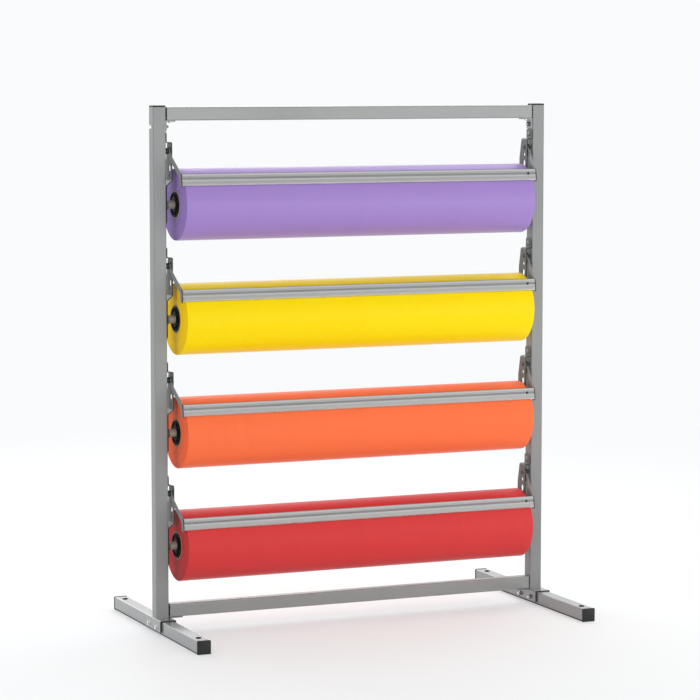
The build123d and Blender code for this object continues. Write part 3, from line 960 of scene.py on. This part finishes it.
@dataclass(frozen=True)
class DomeScrew(Bolt):
    """A screw or bolt with a low domed head and a six-sided socket."""

    head_radius: float = 5.5 * MM
    head_height: float = 3.2 * MM
    socket: float = 3.0 * MM
    socket_depth: float = 0.62
    lip: float = 0.1 * MM
    lip_angle: float = 0.42
    rim_share: float = 0.18
    dome_share: float = 0.82
    dome_rows: int = 9

    def head(self) -> np.ndarray:
        """Rows from the socket's floor, up its wall and over the dome to zero.

        The dome is part of an ellipse: r = R sin q and h = H (rim + dome cos q).

        Returns:
            Heights and radii, stacked as (rows, columns + 1).
        """
        q = np.linspace(self.lip_angle, 0.5 * np.pi, self.dome_rows)
        dome_radius = self.head_radius * np.sin(q)
        dome_height = self.head_height * (self.rim_share + self.dome_share * np.cos(q))
        top = dome_height[0]
        floor = top - self.socket_depth * self.head_height
        height = np.concatenate([[floor, top - self.lip, top], dome_height, [0.0]])
        six = self.socket / 2 * hexagon(self.columns)
        ring = np.ones(self.columns)
        sockets = np.stack([six, six, 1.08 * six])
        dome = dome_radius[:, None] * ring[None]
        rim = (self.head_radius * ring)[None]
        return np.column_stack([-height, np.concatenate([sockets, dome, rim])])


@dataclass(frozen=True)
class Hardware:
    """The rack's bolts, nuts, washers and screws, placed from the frame's own solids."""

    strap: float = 2.0 * MM
    upper_tab: float = 23.5 * MM
    lower_screw_rise: float = 13 * MM
    angle_leg: float = 25 * MM
    angle_sheet: float = 3 * MM
    nut: HexNut = HexNut(flats=10 * MM, height=5 * MM)
    tail: float = 4 * MM
    bracket_screw: DomeScrew = DomeScrew(
        radius=2.5 * MM, reach=10.5 * MM, thread=8 * MM, pitch=0.8 * MM
    )
    rail_screw: DomeScrew = DomeScrew(
        radius=2.5 * MM, reach=11 * MM, thread=8 * MM, pitch=0.8 * MM
    )
    pivot_nut: HexNut = HexNut(flats=13 * MM, height=6.5 * MM)
    pivot_tail: float = 2 * MM
    pivot_play: float = 0.2 * MM

    def build(self, pivots: list[float]) -> None:
        """Makes every fastener group.

        Args:
            pivots: The heights of the cutter pivots.
        """
        post_low, post_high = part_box("right_post")
        self.through_bolts("rail", post_high.x, [0.0], DULL_STEEL)
        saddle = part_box("right_saddle")[1].x
        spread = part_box("saddle_nuts")[1].y - self.nut.flats / 2
        self.through_bolts("saddle", saddle, [-spread, spread], SCREW_STEEL)
        self.bracket_screws(post_low.x - self.strap)
        self.rail_screws()
        self.pivots(pivots)

    def through_bolts(
        self, group: str, seat: float, across: list[float], nut_finish: Finish
    ) -> None:
        """Hex bolts from the outside, with their nuts on the inner side.

        Args:
            group: The start of the two solids' names.
            seat: Where the heads sit, out along X.
            across: The bolts' places along Y.
            nut_finish: The finish of the nuts.
        """
        low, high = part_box(f"{group}_nuts")
        height = (low.z + high.z) / 2
        inner = high.x
        thread = self.tail + self.nut.height
        bolt = HexBolt(radius=3 * MM, reach=seat - inner + thread, thread=thread, pitch=1.0 * MM)
        bolts = both_ends(bolt.grid(), [(seat, y, height) for y in across], inward=True)
        make_piece(f"{group}_bolts_turned", [bolts], [ZINC], "frame", Slot.ZINC, f"{group}_bolts")
        seats = [(inner - self.nut.height, y, height) for y in across]
        nuts = both_ends(self.nut.grid(), seats)
        make_piece(f"{group}_nuts_cut", [nuts], [nut_finish], "frame", Slot.ZINC, f"{group}_nuts")

    def bracket_screws(self, seat: float) -> None:
        """Domed screws that hold the deck brackets to the posts, two to a bracket.

        Args:
            seat: Where the heads sit, out along X.
        """
        boxes = [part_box(f"right_bracket_{number}") for number in PAPERS]
        rises = [high.z - self.upper_tab / 2 for _, high in boxes]
        rises += [low.z + self.lower_screw_rise for low, _ in boxes]
        skin = both_ends(self.bracket_screw.grid(), [(seat, 0.0, z) for z in rises])
        name, node = "bracket_screws_turned", "bracket_screws"
        make_piece(name, [skin], [SCREW_STEEL], "frame", Slot.ZINC, node)

    def rail_screws(self) -> None:
        """Domed screws that go up into the two rails from below."""
        screw = self.rail_screw
        low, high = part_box("rail_screws")
        rail_y = (low.y + high.y) / 2
        _, angle_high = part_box("rail_angles")
        rail_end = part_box("top_rail")[1].x
        angle_x = (angle_high.x - self.angle_leg + rail_end) / 2
        tongue_x = high.x - screw.head_radius
        upper = angle_high.z - self.angle_sheet
        lower = low.z + screw.head_height
        tops = [(side * angle_x, rail_y, upper) for side in (-1, 1)]
        bottoms = [(side * min(tongue_x, angle_x), rail_y, lower) for side in (-1, 1)]
        skin = Skin(copies_at(screw.grid(), tops + bottoms, (0.0, 0.0, 1.0)), capped=True)
        make_piece("rail_screws_turned", [skin], [ZINC], "frame", Slot.ZINC, "rail_screws")

    def pivots(self, heights: list[float]) -> None:
        """Low pivot bolts on the bracket plates' inner faces and their nuts outside the arms.

        Args:
            heights: The pivots' heights.
        """
        arm_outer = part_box("cutter_arms_1")[1].x
        plate_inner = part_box("right_bracket_1")[0].x
        nut_seat = arm_outer + self.pivot_play
        tail = self.pivot_tail + self.pivot_nut.height
        bolt = DomeScrew(
            radius=4 * MM,
            reach=nut_seat - plate_inner + tail,
            thread=tail,
            pitch=1.25 * MM,
            head_radius=6 * MM,
            head_height=2.5 * MM,
            socket=4 * MM,
        )
        heads = both_ends(bolt.grid(), [(plate_inner, 0.0, z) for z in heights])
        nuts = both_ends(self.pivot_nut.grid(), [(nut_seat, 0.0, z) for z in heights])
        make_piece("pivot_bolts_turned", [heads], [DULL_STEEL], "frame", Slot.BLACK, "pivot_bolts")
        make_piece("pivot_nuts_cut", [nuts], [BLACK_STEEL], "frame", Slot.BLACK, "pivot_nuts")
        dress("pivot_washers", BLACK_STEEL)


# Frame


@dataclass(frozen=True)
class RackFrame:
    """Posts, rails, feet, saddles, angles and brackets, with their caps and the feet's grommets."""

    painted: tuple[str, ...] = ("top_rail", "bottom_rail", "rail_angles")
    hole_inset: float = 35 * MM
    hole: float = 4.5 * MM
    grommet_wall: float = 1.2 * MM
    grommet_play: float = 0.1 * MM
    bore_ease: float = 0.5 * MM
    brim: float = 6.6 * MM
    brim_ease: float = 0.7 * MM
    brim_rise: float = 1.3 * MM
    sleeve: float = 7 * MM
    grommet_columns: int = 36
    rim: float = 0.1 * MM
    contact_shadow_height: float = 4.0 * MM
    cap_plug: float = 14 * MM
    cap_inset: float = 2.15 * MM
    cap_brim: float = 0.7 * MM
    cap_corner: float = 3 * MM

    def build(self) -> None:
        """Paints the tubes and plates, blackens the caps and sets the grommets."""
        for node in self.painted:
            dress(node, FRAME_COAT)
        for side in ("left", "right"):
            dress(f"{side}_post", POST_COAT)
            # Painted shade on the saddles' front and back edges, for the shade in the gap beside the
            # foot.
            tip = self.shaded_cut_edge(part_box(f"{side}_saddle")[1].y)
            dress(f"{side}_saddle", FOOT_COAT.with_painted_shade("saddle_coat", tip))
            # Painted contact shadow: the feet's lowest few millimetres are darkened where they meet
            # the floor.
            hem = Band(Axis.Z, -self.rim, self.contact_shadow_height)
            dress(f"{side}_foot", FOOT_COAT.with_painted_shade("foot_coat", hem))
        dress("post_caps", BLACK_PLASTIC)
        caps = self.foot_caps()
        make_piece("brimmed_caps", [caps], [BLACK_PLASTIC], "frame", Slot.PLASTIC, "foot_caps")
        # Painted shade on the brackets' front and back edges.
        tip = self.shaded_cut_edge(-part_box("right_bracket_1")[0].y)
        coat = BRACKET_COAT.with_painted_shade("bracket_coat", tip)
        for number in PAPERS:
            dress(f"left_bracket_{number}", coat)
            dress(f"right_bracket_{number}", coat)
        make_piece("foot_grommets", [self.grommets()], [PLUG_PLASTIC], "frame", Slot.PLASTIC)

    def shaded_cut_edge(self, reach: float) -> Band:
        """The cut edges that lie at one distance along Y, which take painted shade."""
        return Band(Axis.Y, reach - self.rim, reach + self.rim)

    def foot_caps(self) -> Skin:
        """The caps in the feet's ends: a plug in the tube, then a brimmed and chamfered flange.

        Each row is the tube's eased square times 1 + step / half. The brim stands proud of the top
        and sides only, so the square is held at or above the floor.

        Returns:
            One capped skin of four copies, the front ones turned half round.
        """
        low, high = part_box("right_foot")
        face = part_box("foot_caps")[1].y - high.y
        half = (high.x - low.x) / 2
        corners = [(-half, -half), (half, -half), (half, half), (-half, half)]
        square = soft_corners(corners, self.cap_corner)
        inset, brim = self.cap_inset, self.cap_brim
        step = np.array([-inset, -inset, brim, brim, -brim])
        along = high.y + np.array([-self.cap_plug, 0.0, 0.0, face - brim, face])
        section = square[None] * (1.0 + step / half)[:, None, None]
        height = half + np.maximum(section[..., 1], -half)
        depth = np.broadcast_to(along[:, None], height.shape)
        back = np.stack([section[..., 0], depth, height], axis=-1)
        front = back * np.array([-1.0, -1.0, 1.0])
        shift = np.array([(low.x + high.x) / 2, 0.0, 0.0])
        copies = [end + side * shift for end in (back, front) for side in (-1, 1)]
        return Skin(np.stack(copies), capped=True)

    def grommets(self) -> Skin:
        """The black grommets in the feet: a rounded brim on the tube and a sleeve down its hole.

        The section goes up the bore, over the brim and back down outside the sleeve.

        Returns:
            One skin of closed rings.
        """
        low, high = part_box("right_foot")
        bore, fit = self.hole - self.grommet_wall, self.hole - self.grommet_play
        inner, outer = bore + self.bore_ease, self.brim - self.brim_ease
        radius = np.array([bore, bore, inner, outer, self.brim, self.brim, fit, fit])
        rise, sleeve = self.brim_rise, self.sleeve
        height = np.array([-sleeve, 0.5 * rise, rise, rise, 0.5 * rise, 0.0, 0.0, -sleeve])
        reach = high.y - self.hole_inset
        middle = (low.x + high.x) / 2
        places = [(x, y, high.z) for x in (-middle, middle) for y in (-reach, reach)]
        ring = turned(height, radius, self.grommet_columns)
        return Skin(copies_at(ring, places, (0.0, 0.0, 1.0)), wrap_rows=True)


# Decks


@dataclass(frozen=True)
class DeckPart:
    """A moving part of one deck, numbered from 1 at the top, with the height of the roll's axis."""

    kind: ClassVar[str]
    number: int
    axis_z: float

    @property
    def body(self) -> str:
        """The body that moves with this part."""
        return f"{self.kind}_{self.number}"

    def piece(
        self, name: str, skins: list[Skin], finishes: list[Finish], slot: Slot, *nodes: str
    ) -> None:
        """Makes a piece on this part's body, where all the names end in the deck's number.

        Args:
            name: The start of the piece's name.
            skins: Its surfaces.
            finishes: Its finishes.
            slot: The record's slot of its main finish.
            nodes: The starts of the names of the solids that it is shown in place of.
        """
        replaced = [f"{node}_{self.number}" for node in nodes]
        make_piece(f"{name}_{self.number}", skins, finishes, self.body, slot, *replaced)


# Rolls


@dataclass(frozen=True)
class PaperRoll(DeckPart):
    """One roll: the wound paper, its board core, the plugs with their screws, and the rod."""

    kind: ClassVar[str] = "roll"
    columns: int = 168
    rings: int = 52
    bend_rows: int = 5
    skin_rows: int = 39
    edge: float = 1.2 * MM
    sheet: float = 0.35 * MM
    free_edge: float = math.radians(58.6)
    telescope: float = 0.35 * MM
    knots: int = 9
    seed: int = 40
    groove: float = 0.22 * MM
    groove_least: float = 0.4
    sag: float = 0.12 * MM
    sag_waves: tuple[float, float] = (31.0, 13.0)
    seam: float = 1e-4
    rim: float = 26.5 * MM
    hub: float = 18.5 * MM
    dish: float = 4.0 * MM
    ribs: int = 6
    rib_share: float = 0.7
    rib_steep: float = 6.0
    rib_level: float = 4.6
    plug_columns: int = 144
    plug_length: float = 43 * MM
    plug_ease: float = 0.7 * MM
    fit: float = 0.05 * MM
    board_ring: float = 0.9 * MM
    board_contrast: float = 0.3
    set_screw_drop: float = 13.2 * MM
    set_screw: DomeScrew = DomeScrew(
        radius=1.2 * MM,
        reach=3 * MM,
        thread=1 * MM,
        pitch=0.5 * MM,
        head_radius=2.4 * MM,
        head_height=1.4 * MM,
        socket=2.4 * MM,
    )

    def build(self) -> None:
        """Makes the paper and the plugs, and dresses the core and the rod."""
        number, stock = self.number, PAPERS[self.number]
        skin = DyedPaper(f"{stock.slot.value}_skin", stock.skin, gloss=stock.gloss)
        ends = LayeredEnd(f"{stock.slot.value}_end", stock.ends, self.axis_z)
        self.piece("wound_paper", [self.paper()], [skin, ends], stock.slot, "paper_roll")
        ring, contrast = self.board_ring, self.board_contrast
        board = LayeredEnd(f"core_board_{number}", CORE_CREAM, self.axis_z, ring, contrast)
        dress(f"core_{number}", board)
        dress(f"rod_{number}", ROD_STEEL)
        self.piece("dished_plugs", self.plugs(), [PLUG_PLASTIC], Slot.PLASTIC, "core_plugs")
        self.piece("plug_screws", [self.plug_screws()], [BLACK_STEEL], Slot.BLACK)

    def about_axis(self, x: np.ndarray, radius: np.ndarray, angle: np.ndarray) -> np.ndarray:
        """Points (x, -r sin a, z0 + r cos a), with the angle from straight up towards the front."""
        x, radius, angle = np.broadcast_arrays(x, radius, angle)
        return np.stack([x, -radius * np.sin(angle), self.axis_z + radius * np.cos(angle)], axis=-1)

    def paper(self) -> Skin:
        """The wound paper as one closed surface.

        Round the roll the radius is a spiral, r - sheet * turn * (r - bore) / (R - bore), so the
        free edge stands a sheet's thickness proud just under the blade. On the ends, rings lie in
        and out by a slow telescoping wave plus a fine groove, and the outer turn dips by two sines
        of x.

        Returns:
            A skin wrapped both ways, with the ends in the second finish.
        """
        low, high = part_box(f"paper_roll_{self.number}")
        half, outer = high.x, (high.z - low.z) / 2
        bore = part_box(f"core_{self.number}")[1].z - self.axis_z + self.fit
        draw = np.random.default_rng(self.seed + self.number)
        radius = np.linspace(bore, outer - self.edge, 2 * self.rings)
        slips = draw.uniform(0.0, self.telescope, self.knots)
        wave = np.interp(radius, np.linspace(bore, outer, self.knots), slips)
        ridge = self.groove * draw.uniform(self.groove_least, 1.0, len(radius))
        depth = wave + ridge * (np.arange(len(radius)) % 2)
        depth[-1] = 0.0
        bend = np.linspace(0.0, 0.5 * np.pi, self.bend_rows + 1)[1:]
        bend_x = half - self.edge * (1 - np.cos(bend))
        bend_r = outer - self.edge * (1 - np.sin(bend))
        along = np.linspace(-half + self.edge, half - self.edge, self.skin_rows + 2)[1:-1]
        short, slow = self.sag_waves
        dips = np.sin(along * short + self.number) + np.sin(along * slow + 2.0 * self.number)
        skin_r = outer - self.sag * (0.5 + 0.25 * dips)
        x = np.concatenate([depth - half, -bend_x, along, bend_x[::-1], (half - depth)[::-1]])
        r = np.concatenate([radius, bend_r, skin_r, bend_r[::-1], radius[::-1]])
        turn = np.linspace(0.0, 1.0 - self.seam, self.columns)
        spiral = r[:, None] - self.sheet * turn[None] * ((r - bore) / (outer - bore))[:, None]
        points = self.about_axis(x[:, None], spiral, self.free_edge + 2 * np.pi * turn[None])
        ends = np.ones(len(x), int)
        ends[len(radius) - 1 : len(x) - len(radius)] = 0
        return Skin(points, wrap_rows=True, row_finish=ends)

    def plug(self, side: float) -> np.ndarray:
        """One plug: a rim, a dish with radial ribs, and a hub round the rod.

        The dish's floor is x = face - depth * (1 - share * rib), where rib peaks at each rib.

        Args:
            side: 1 for the right end and -1 for the left.

        Returns:
            Points (rows, columns, 3) of a closed loop of rows.
        """
        low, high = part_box(f"core_plugs_{self.number}")
        face, outer = high.x, (high.z - low.z) / 2
        inner = face - self.plug_length
        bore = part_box(f"rod_{self.number}")[1].z - self.axis_z + self.fit
        step = self.plug_ease
        radius = [bore, outer - step, outer, outer, outer - 0.3 * step, outer - step]
        depth = [face - inner, face - inner, face - inner - step, step, 0.3 * step, 0.0]
        radius += [self.rim + step, self.rim, self.rim - 0.5 * step, self.hub + 2.5 * step]
        depth += [0.0, 0.4 * step, self.dish * 0.55, self.dish]
        radius += [self.hub + step, self.hub, self.hub - step, bore + step, bore]
        depth += [self.dish, 0.4 * step, 0.0, 0.0, step]
        angle = np.linspace(0.0, 2 * np.pi, self.plug_columns, endpoint=False)
        rib = np.clip(np.cos(self.ribs * angle) * self.rib_steep - self.rib_level, 0.0, 1.0)
        ribbed = np.zeros(len(radius))
        dish_rows = slice(8, 11)
        ribbed[dish_rows] = self.rib_share
        depth_at = np.array(depth)[:, None] * (1.0 - ribbed[:, None] * rib[None])
        return self.about_axis(side * (face - depth_at), np.array(radius)[:, None], angle[None])

    def plugs(self) -> list[Skin]:
        """Both plugs, each a closed loop of rows."""
        return [Skin(self.plug(side), wrap_rows=True) for side in (1.0, -1.0)]

    def plug_screws(self) -> Skin:
        """The set screws that lock the plugs to the rod, just below it on each hub.

        Returns:
            One capped skin of the two screws.
        """
        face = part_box(f"core_plugs_{self.number}")[1].x
        place = (face, 0.0, self.axis_z - self.set_screw_drop)
        return both_ends(self.set_screw.grid(), [place], inward=True)


# Cutters


@dataclass(frozen=True)
class Cutter(DeckPart):
    """One hinged cutter: its carrier, its blade, its arms and the small screws in the groove.

    The section is drawn in n, out of the bar's front, and t, up along the bar, from the carrier's
    back beside the blade's edge.
    """

    kind: ClassVar[str] = "cutter"
    contact: float = math.radians(57.5)
    lean: float = math.radians(8.0)
    gap: float = 0.4 * MM
    sheet: float = 2.0 * MM
    proud: float = 2.6 * MM
    slope: float = 4.5 * MM
    slope_depth: float = 2.0 * MM
    bevel: float = 3.0 * MM
    lip: float = 4.2 * MM
    hem_slope: float = 4.3 * MM
    foot: float = 8.0 * MM
    ledge: float = 8.0 * MM
    blade_height: float = 15.0 * MM
    groove: float = 4.5 * MM
    hem: float = 9.5 * MM
    ease: float = 0.55 * MM
    notch: float = 3.3 * MM
    notch_reach: float = 5.0 * MM
    inset: float = 19.2 * MM
    stations: int = 31
    notch_stations: int = 21
    groove_screw: DomeScrew = DomeScrew(
        radius=2 * MM,
        reach=7 * MM,
        thread=3 * MM,
        pitch=0.7 * MM,
        head_radius=3 * MM,
        head_height=1.8 * MM,
        socket=2.0 * MM,
    )

    def build(self) -> None:
        """Makes the carrier, blade and screws, and dresses the arms."""
        number = self.number
        # Painted light on the carrier's front: shade in the groove, highlight on the bead's slope,
        # shadow along the top edge.
        coats = [CUTTER_COAT, RIDGE_HIGHLIGHT_COAT, GROOVE_SHADE_COAT, TOP_EDGE_SHADOW_COAT]
        ridge = self.mouth + self.lip
        levels = [self.mouth, ridge, ridge + self.hem_slope]
        carrier = self.run(self.carrier(), True, levels, [2, 0, 1, 3])
        self.piece("folded_bar", [carrier], coats, Slot.CUTTER, "cutter_bar")
        # Painted highlight on the blade's top slope.
        steels = [BLADE_STEEL, RIDGE_HIGHLIGHT_COAT, BEVEL_STEEL]
        levels = [self.bevel, self.blade_height - self.slope]
        blade = self.run(self.blade(), False, levels, [2, 0, 1])
        self.piece("ground_blade", [blade], steels, Slot.BLADE, "cutter_blade")
        screws = [self.screw(1.0, 0), self.screw(-1.0, 1)]
        self.piece("groove_screws", screws, [BLACK_STEEL, CUTTER_COAT], Slot.BLACK, "bar_screws")
        # Painted shade on the arms' cut edges below the bar's top, beside the bar's ends.
        leg = Band(Axis.X, self.half + 0.5 * self.sheet, self.half + 1.5 * self.sheet)
        knee = Band(Axis.Z, 0.0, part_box(f"cutter_bar_{number}")[1].z)
        dress(f"cutter_arms_{number}", ARM_COAT.with_painted_shade(f"arm_coat_shaded_edges_{number}", leg, knee))

    @property
    def half(self) -> float:
        """Half the bar's length."""
        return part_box(f"cutter_bar_{self.number}")[1].x

    @property
    def mouth(self) -> float:
        """How far up the bar the groove ends."""
        return self.blade_height + self.groove

    def axes(self) -> tuple[np.ndarray, np.ndarray, np.ndarray]:
        """Places the section in the rack's frame.

        Returns:
            The section's origin and its n and t directions.
        """
        low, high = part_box(f"paper_roll_{self.number}")
        reach = (high.z - low.z) / 2 + self.gap
        out = np.array([0.0, -math.cos(self.lean), math.sin(self.lean)])
        up = np.array([0.0, math.sin(self.lean), math.cos(self.lean)])
        height = self.axis_z + reach * math.cos(self.contact)
        edge = np.array([0.0, -reach * math.sin(self.contact), height])
        return edge - out * self.sheet, out, up

    def placed(self, x: np.ndarray, n: np.ndarray, t: np.ndarray) -> np.ndarray:
        """Points of the section carried along X: origin + n out + t up + x along.

        Args:
            x: Places along the bar.
            n: Places out of its front.
            t: Places up it.

        Returns:
            Points of the three together, with a last axis of 3.
        """
        origin, out, up = self.axes()
        along = np.array([1.0, 0.0, 0.0])
        x, n, t = np.broadcast_arrays(x, n, t)
        return origin + n[..., None] * out + t[..., None] * up + x[..., None] * along

    def carrier(self) -> np.ndarray:
        """The carrier's outline: the web, the hem's bead above the groove, and the back ledge.

        Returns:
            Points (columns, 2) of n and t.
        """
        sheet, mouth = self.sheet, self.mouth
        top, front = mouth + self.hem, self.sheet + self.proud
        bead, neck = mouth + self.lip, front - self.slope_depth
        corners = [(0.0, self.foot), (sheet, self.foot), (sheet, mouth), (front, mouth)]
        corners += [(front, bead), (neck, bead + self.hem_slope), (neck, top), (-self.ledge, top)]
        corners += [(-self.ledge, top - sheet), (0.0, top - sheet)]
        return soft_corners(corners, self.ease)

    def blade(self) -> np.ndarray:
        """The blade's outline, ground to its edge on the roll and sloped off at its top.

        Returns:
            Points (columns, 2) of n and t.
        """
        front, top = self.sheet + self.proud, self.blade_height
        corners = [(self.sheet, 0.0), (front, self.bevel), (front, top - self.slope)]
        corners += [(front - self.slope_depth, top), (self.sheet, top)]
        return soft_corners(corners, 0.7 * self.ease)

    def run(
        self, outline: np.ndarray, above: bool, levels: list[float], finishes: list[int]
    ) -> Skin:
        """An outline carried along the bar, cut back round each screw head.

        The groove's edge moves by sqrt(notch^2 - d^2) - groove / 2 at a distance d from a screw.

        Args:
            outline: Points (columns, 2) of n and t.
            above: Whether the outline lies above the groove.
            levels: The heights at which the front changes its finish.
            finishes: The front's finish numbers, from the bottom up; all else has finish 0.

        Returns:
            A skin with flat ends.
        """
        screw = self.half - self.inset
        near = np.linspace(-self.notch, self.notch, self.notch_stations)
        even = np.linspace(-self.half, self.half, self.stations)
        x = np.unique(np.concatenate([even, near - screw, near + screw]))
        round_head = np.sqrt(np.maximum(self.notch**2 - (np.abs(x) - screw) ** 2, 0.0))
        widen = np.maximum(round_head - self.groove / 2, 0.0)
        n, t = outline[:, 0], outline[:, 1]
        edge = self.mouth if above else self.blade_height
        share = np.clip(1.0 - np.abs(t - edge) / self.notch_reach, 0.0, 1.0)
        share *= n > 1.02 * self.sheet
        shift = widen[:, None] * share[None] * (1.0 if above else -1.0)
        middle = 0.5 * (outline + np.roll(outline, -1, axis=0))
        strip = np.array(finishes)[np.searchsorted(levels, middle[:, 1])]
        strip = np.where(middle[:, 0] > 0.98 * self.sheet, strip, 0)
        points = self.placed(x[:, None], n[None], t[None] + shift)
        return Skin(points, capped=True, column_finish=strip)

    def screw(self, side: float, finish: int) -> Skin:
        """A small socket screw in the groove, through the bar into an arm's tab.

        Args:
            side: 1 for the right end and -1 for the left, where the screw is painted over.
            finish: The number of its finish.

        Returns:
            The screw as a capped skin.
        """
        _, out, _ = self.axes()
        x = np.array([side * (self.half - self.inset)])
        middle = self.blade_height + self.groove / 2
        places = self.placed(x, np.array(self.sheet), np.array(middle)).tolist()
        points = copies_at(self.groove_screw.grid(), places, tuple(-out))
        return Skin(points, capped=True, finish=finish)


# Studio


@dataclass(frozen=True)
class Viewpoint:
    """The camera, at the photograph's place."""

    place: Triple = (-2.71732, -6.34989, 1.34129)
    turn: float = math.radians(23.13)
    dip: float = math.radians(5.64)
    lens: float = 145.64
    sensor: float = 36.0
    sight: float = 200.0

    def build(self) -> None:
        """Makes the camera and looks through it."""
        data = bpy.data.cameras.new("camera")
        data.lens = self.lens
        data.sensor_width = self.sensor
        data.clip_end = self.sight
        camera = add_object("camera", data)
        camera.location = self.place
        camera.rotation_euler = (0.5 * math.pi - self.dip, 0.0, -self.turn)
        bpy.context.scene.camera = camera


@dataclass(frozen=True)
class Softbox:
    """A square area lamp that looks at a point."""

    name: str
    place: Triple
    target: Triple
    size: float
    power: float

    def build(self) -> None:
        """Makes the lamp and aims it."""
        data = bpy.data.lights.new(self.name, "AREA")
        data.energy = self.power
        data.size = self.size
        lamp = add_object(self.name, data)
        lamp.location = self.place
        lamp.visible_camera = False
        x, y, z = np.array(self.place) - np.array(self.target)
        turn = math.atan2(y, x) + 0.5 * math.pi
        lamp.rotation_euler = (math.atan2(math.hypot(x, y), z), 0.0, turn)


@dataclass(frozen=True)
class Studio:
    """A pale floor, a white surround and soft lamps."""

    floor_half: float = 30.0
    surround: float = 0.75
    lamps: tuple[Softbox, ...] = (
        Softbox("top_softbox", (1.6, 0.9, 3.3), (0.2, 0.0, 0.3), 2.0, 36.0),
        Softbox("back_softbox", (0.0, 3.4, 2.6), (0.0, 0.0, 0.6), 3.4, 60.0),
        Softbox("right_softbox", (1.9, -2.6, 0.6), (0.3, 0.0, 0.6), 1.8, 22.0),
        Softbox("front_softbox", (0.6, -5.5, 0.3), (0.0, 0.0, 0.6), 2.5, 58.0),
        Softbox("left_softbox", (-4.0, -0.8, 0.6), (0.0, 0.0, 0.6), 2.4, 26.0),
    )

    def build(self) -> None:
        """Makes the floor, the world and the lamps."""
        span = np.array([-self.floor_half, self.floor_half])
        x, y = np.meshgrid(span, span, indexing="ij")
        points = np.stack([x, y, np.zeros_like(x)], axis=-1).reshape(-1, 3)
        mesh = bpy.data.meshes.new("studio_floor")
        mesh.from_pydata(points.tolist(), [], [(0, 2, 3, 1)])
        mesh.materials.append(StudioFloor("studio_floor", FLOOR_PALE).material())
        floor = add_object("studio_floor", mesh)
        self.sky()
        for lamp in self.lamps:
            lamp.build()
        bpy.context.scene.view_settings.view_transform = "Standard"

    def sky(self) -> None:
        """Draws a world that is white where it is seen and softer where it lights the rack."""
        world = bpy.data.worlds.new("white_surround")
        bpy.context.scene.world = world
        canvas = Canvas(world)
        strength = self.surround + (1.0 - self.surround) * seen_directly(canvas)
        inputs = {"Color": BACKDROP, "Strength": strength}
        light = canvas.node("ShaderNodeBackground", inputs=inputs)
        canvas.node("ShaderNodeOutputWorld", inputs={"Surface": light})


def main() -> None:
    """Builds the studio, then the rack from its frame to its cutters."""
    logging.basicConfig(level=logging.INFO, format="%(name)s: %(message)s")
    Studio().build()
    Viewpoint().build()
    heights = {joint["child"]: joint["pos_m"][2] for joint in frame["joints"]}
    RackFrame().build()
    Hardware().build([heights[f"cutter_{number}"] for number in PAPERS])
    for number in PAPERS:
        axis_z = heights[f"roll_{number}"]
        PaperRoll(number, axis_z).build()
        Cutter(number, axis_z).build()


if __name__ == "__main__":
    main()
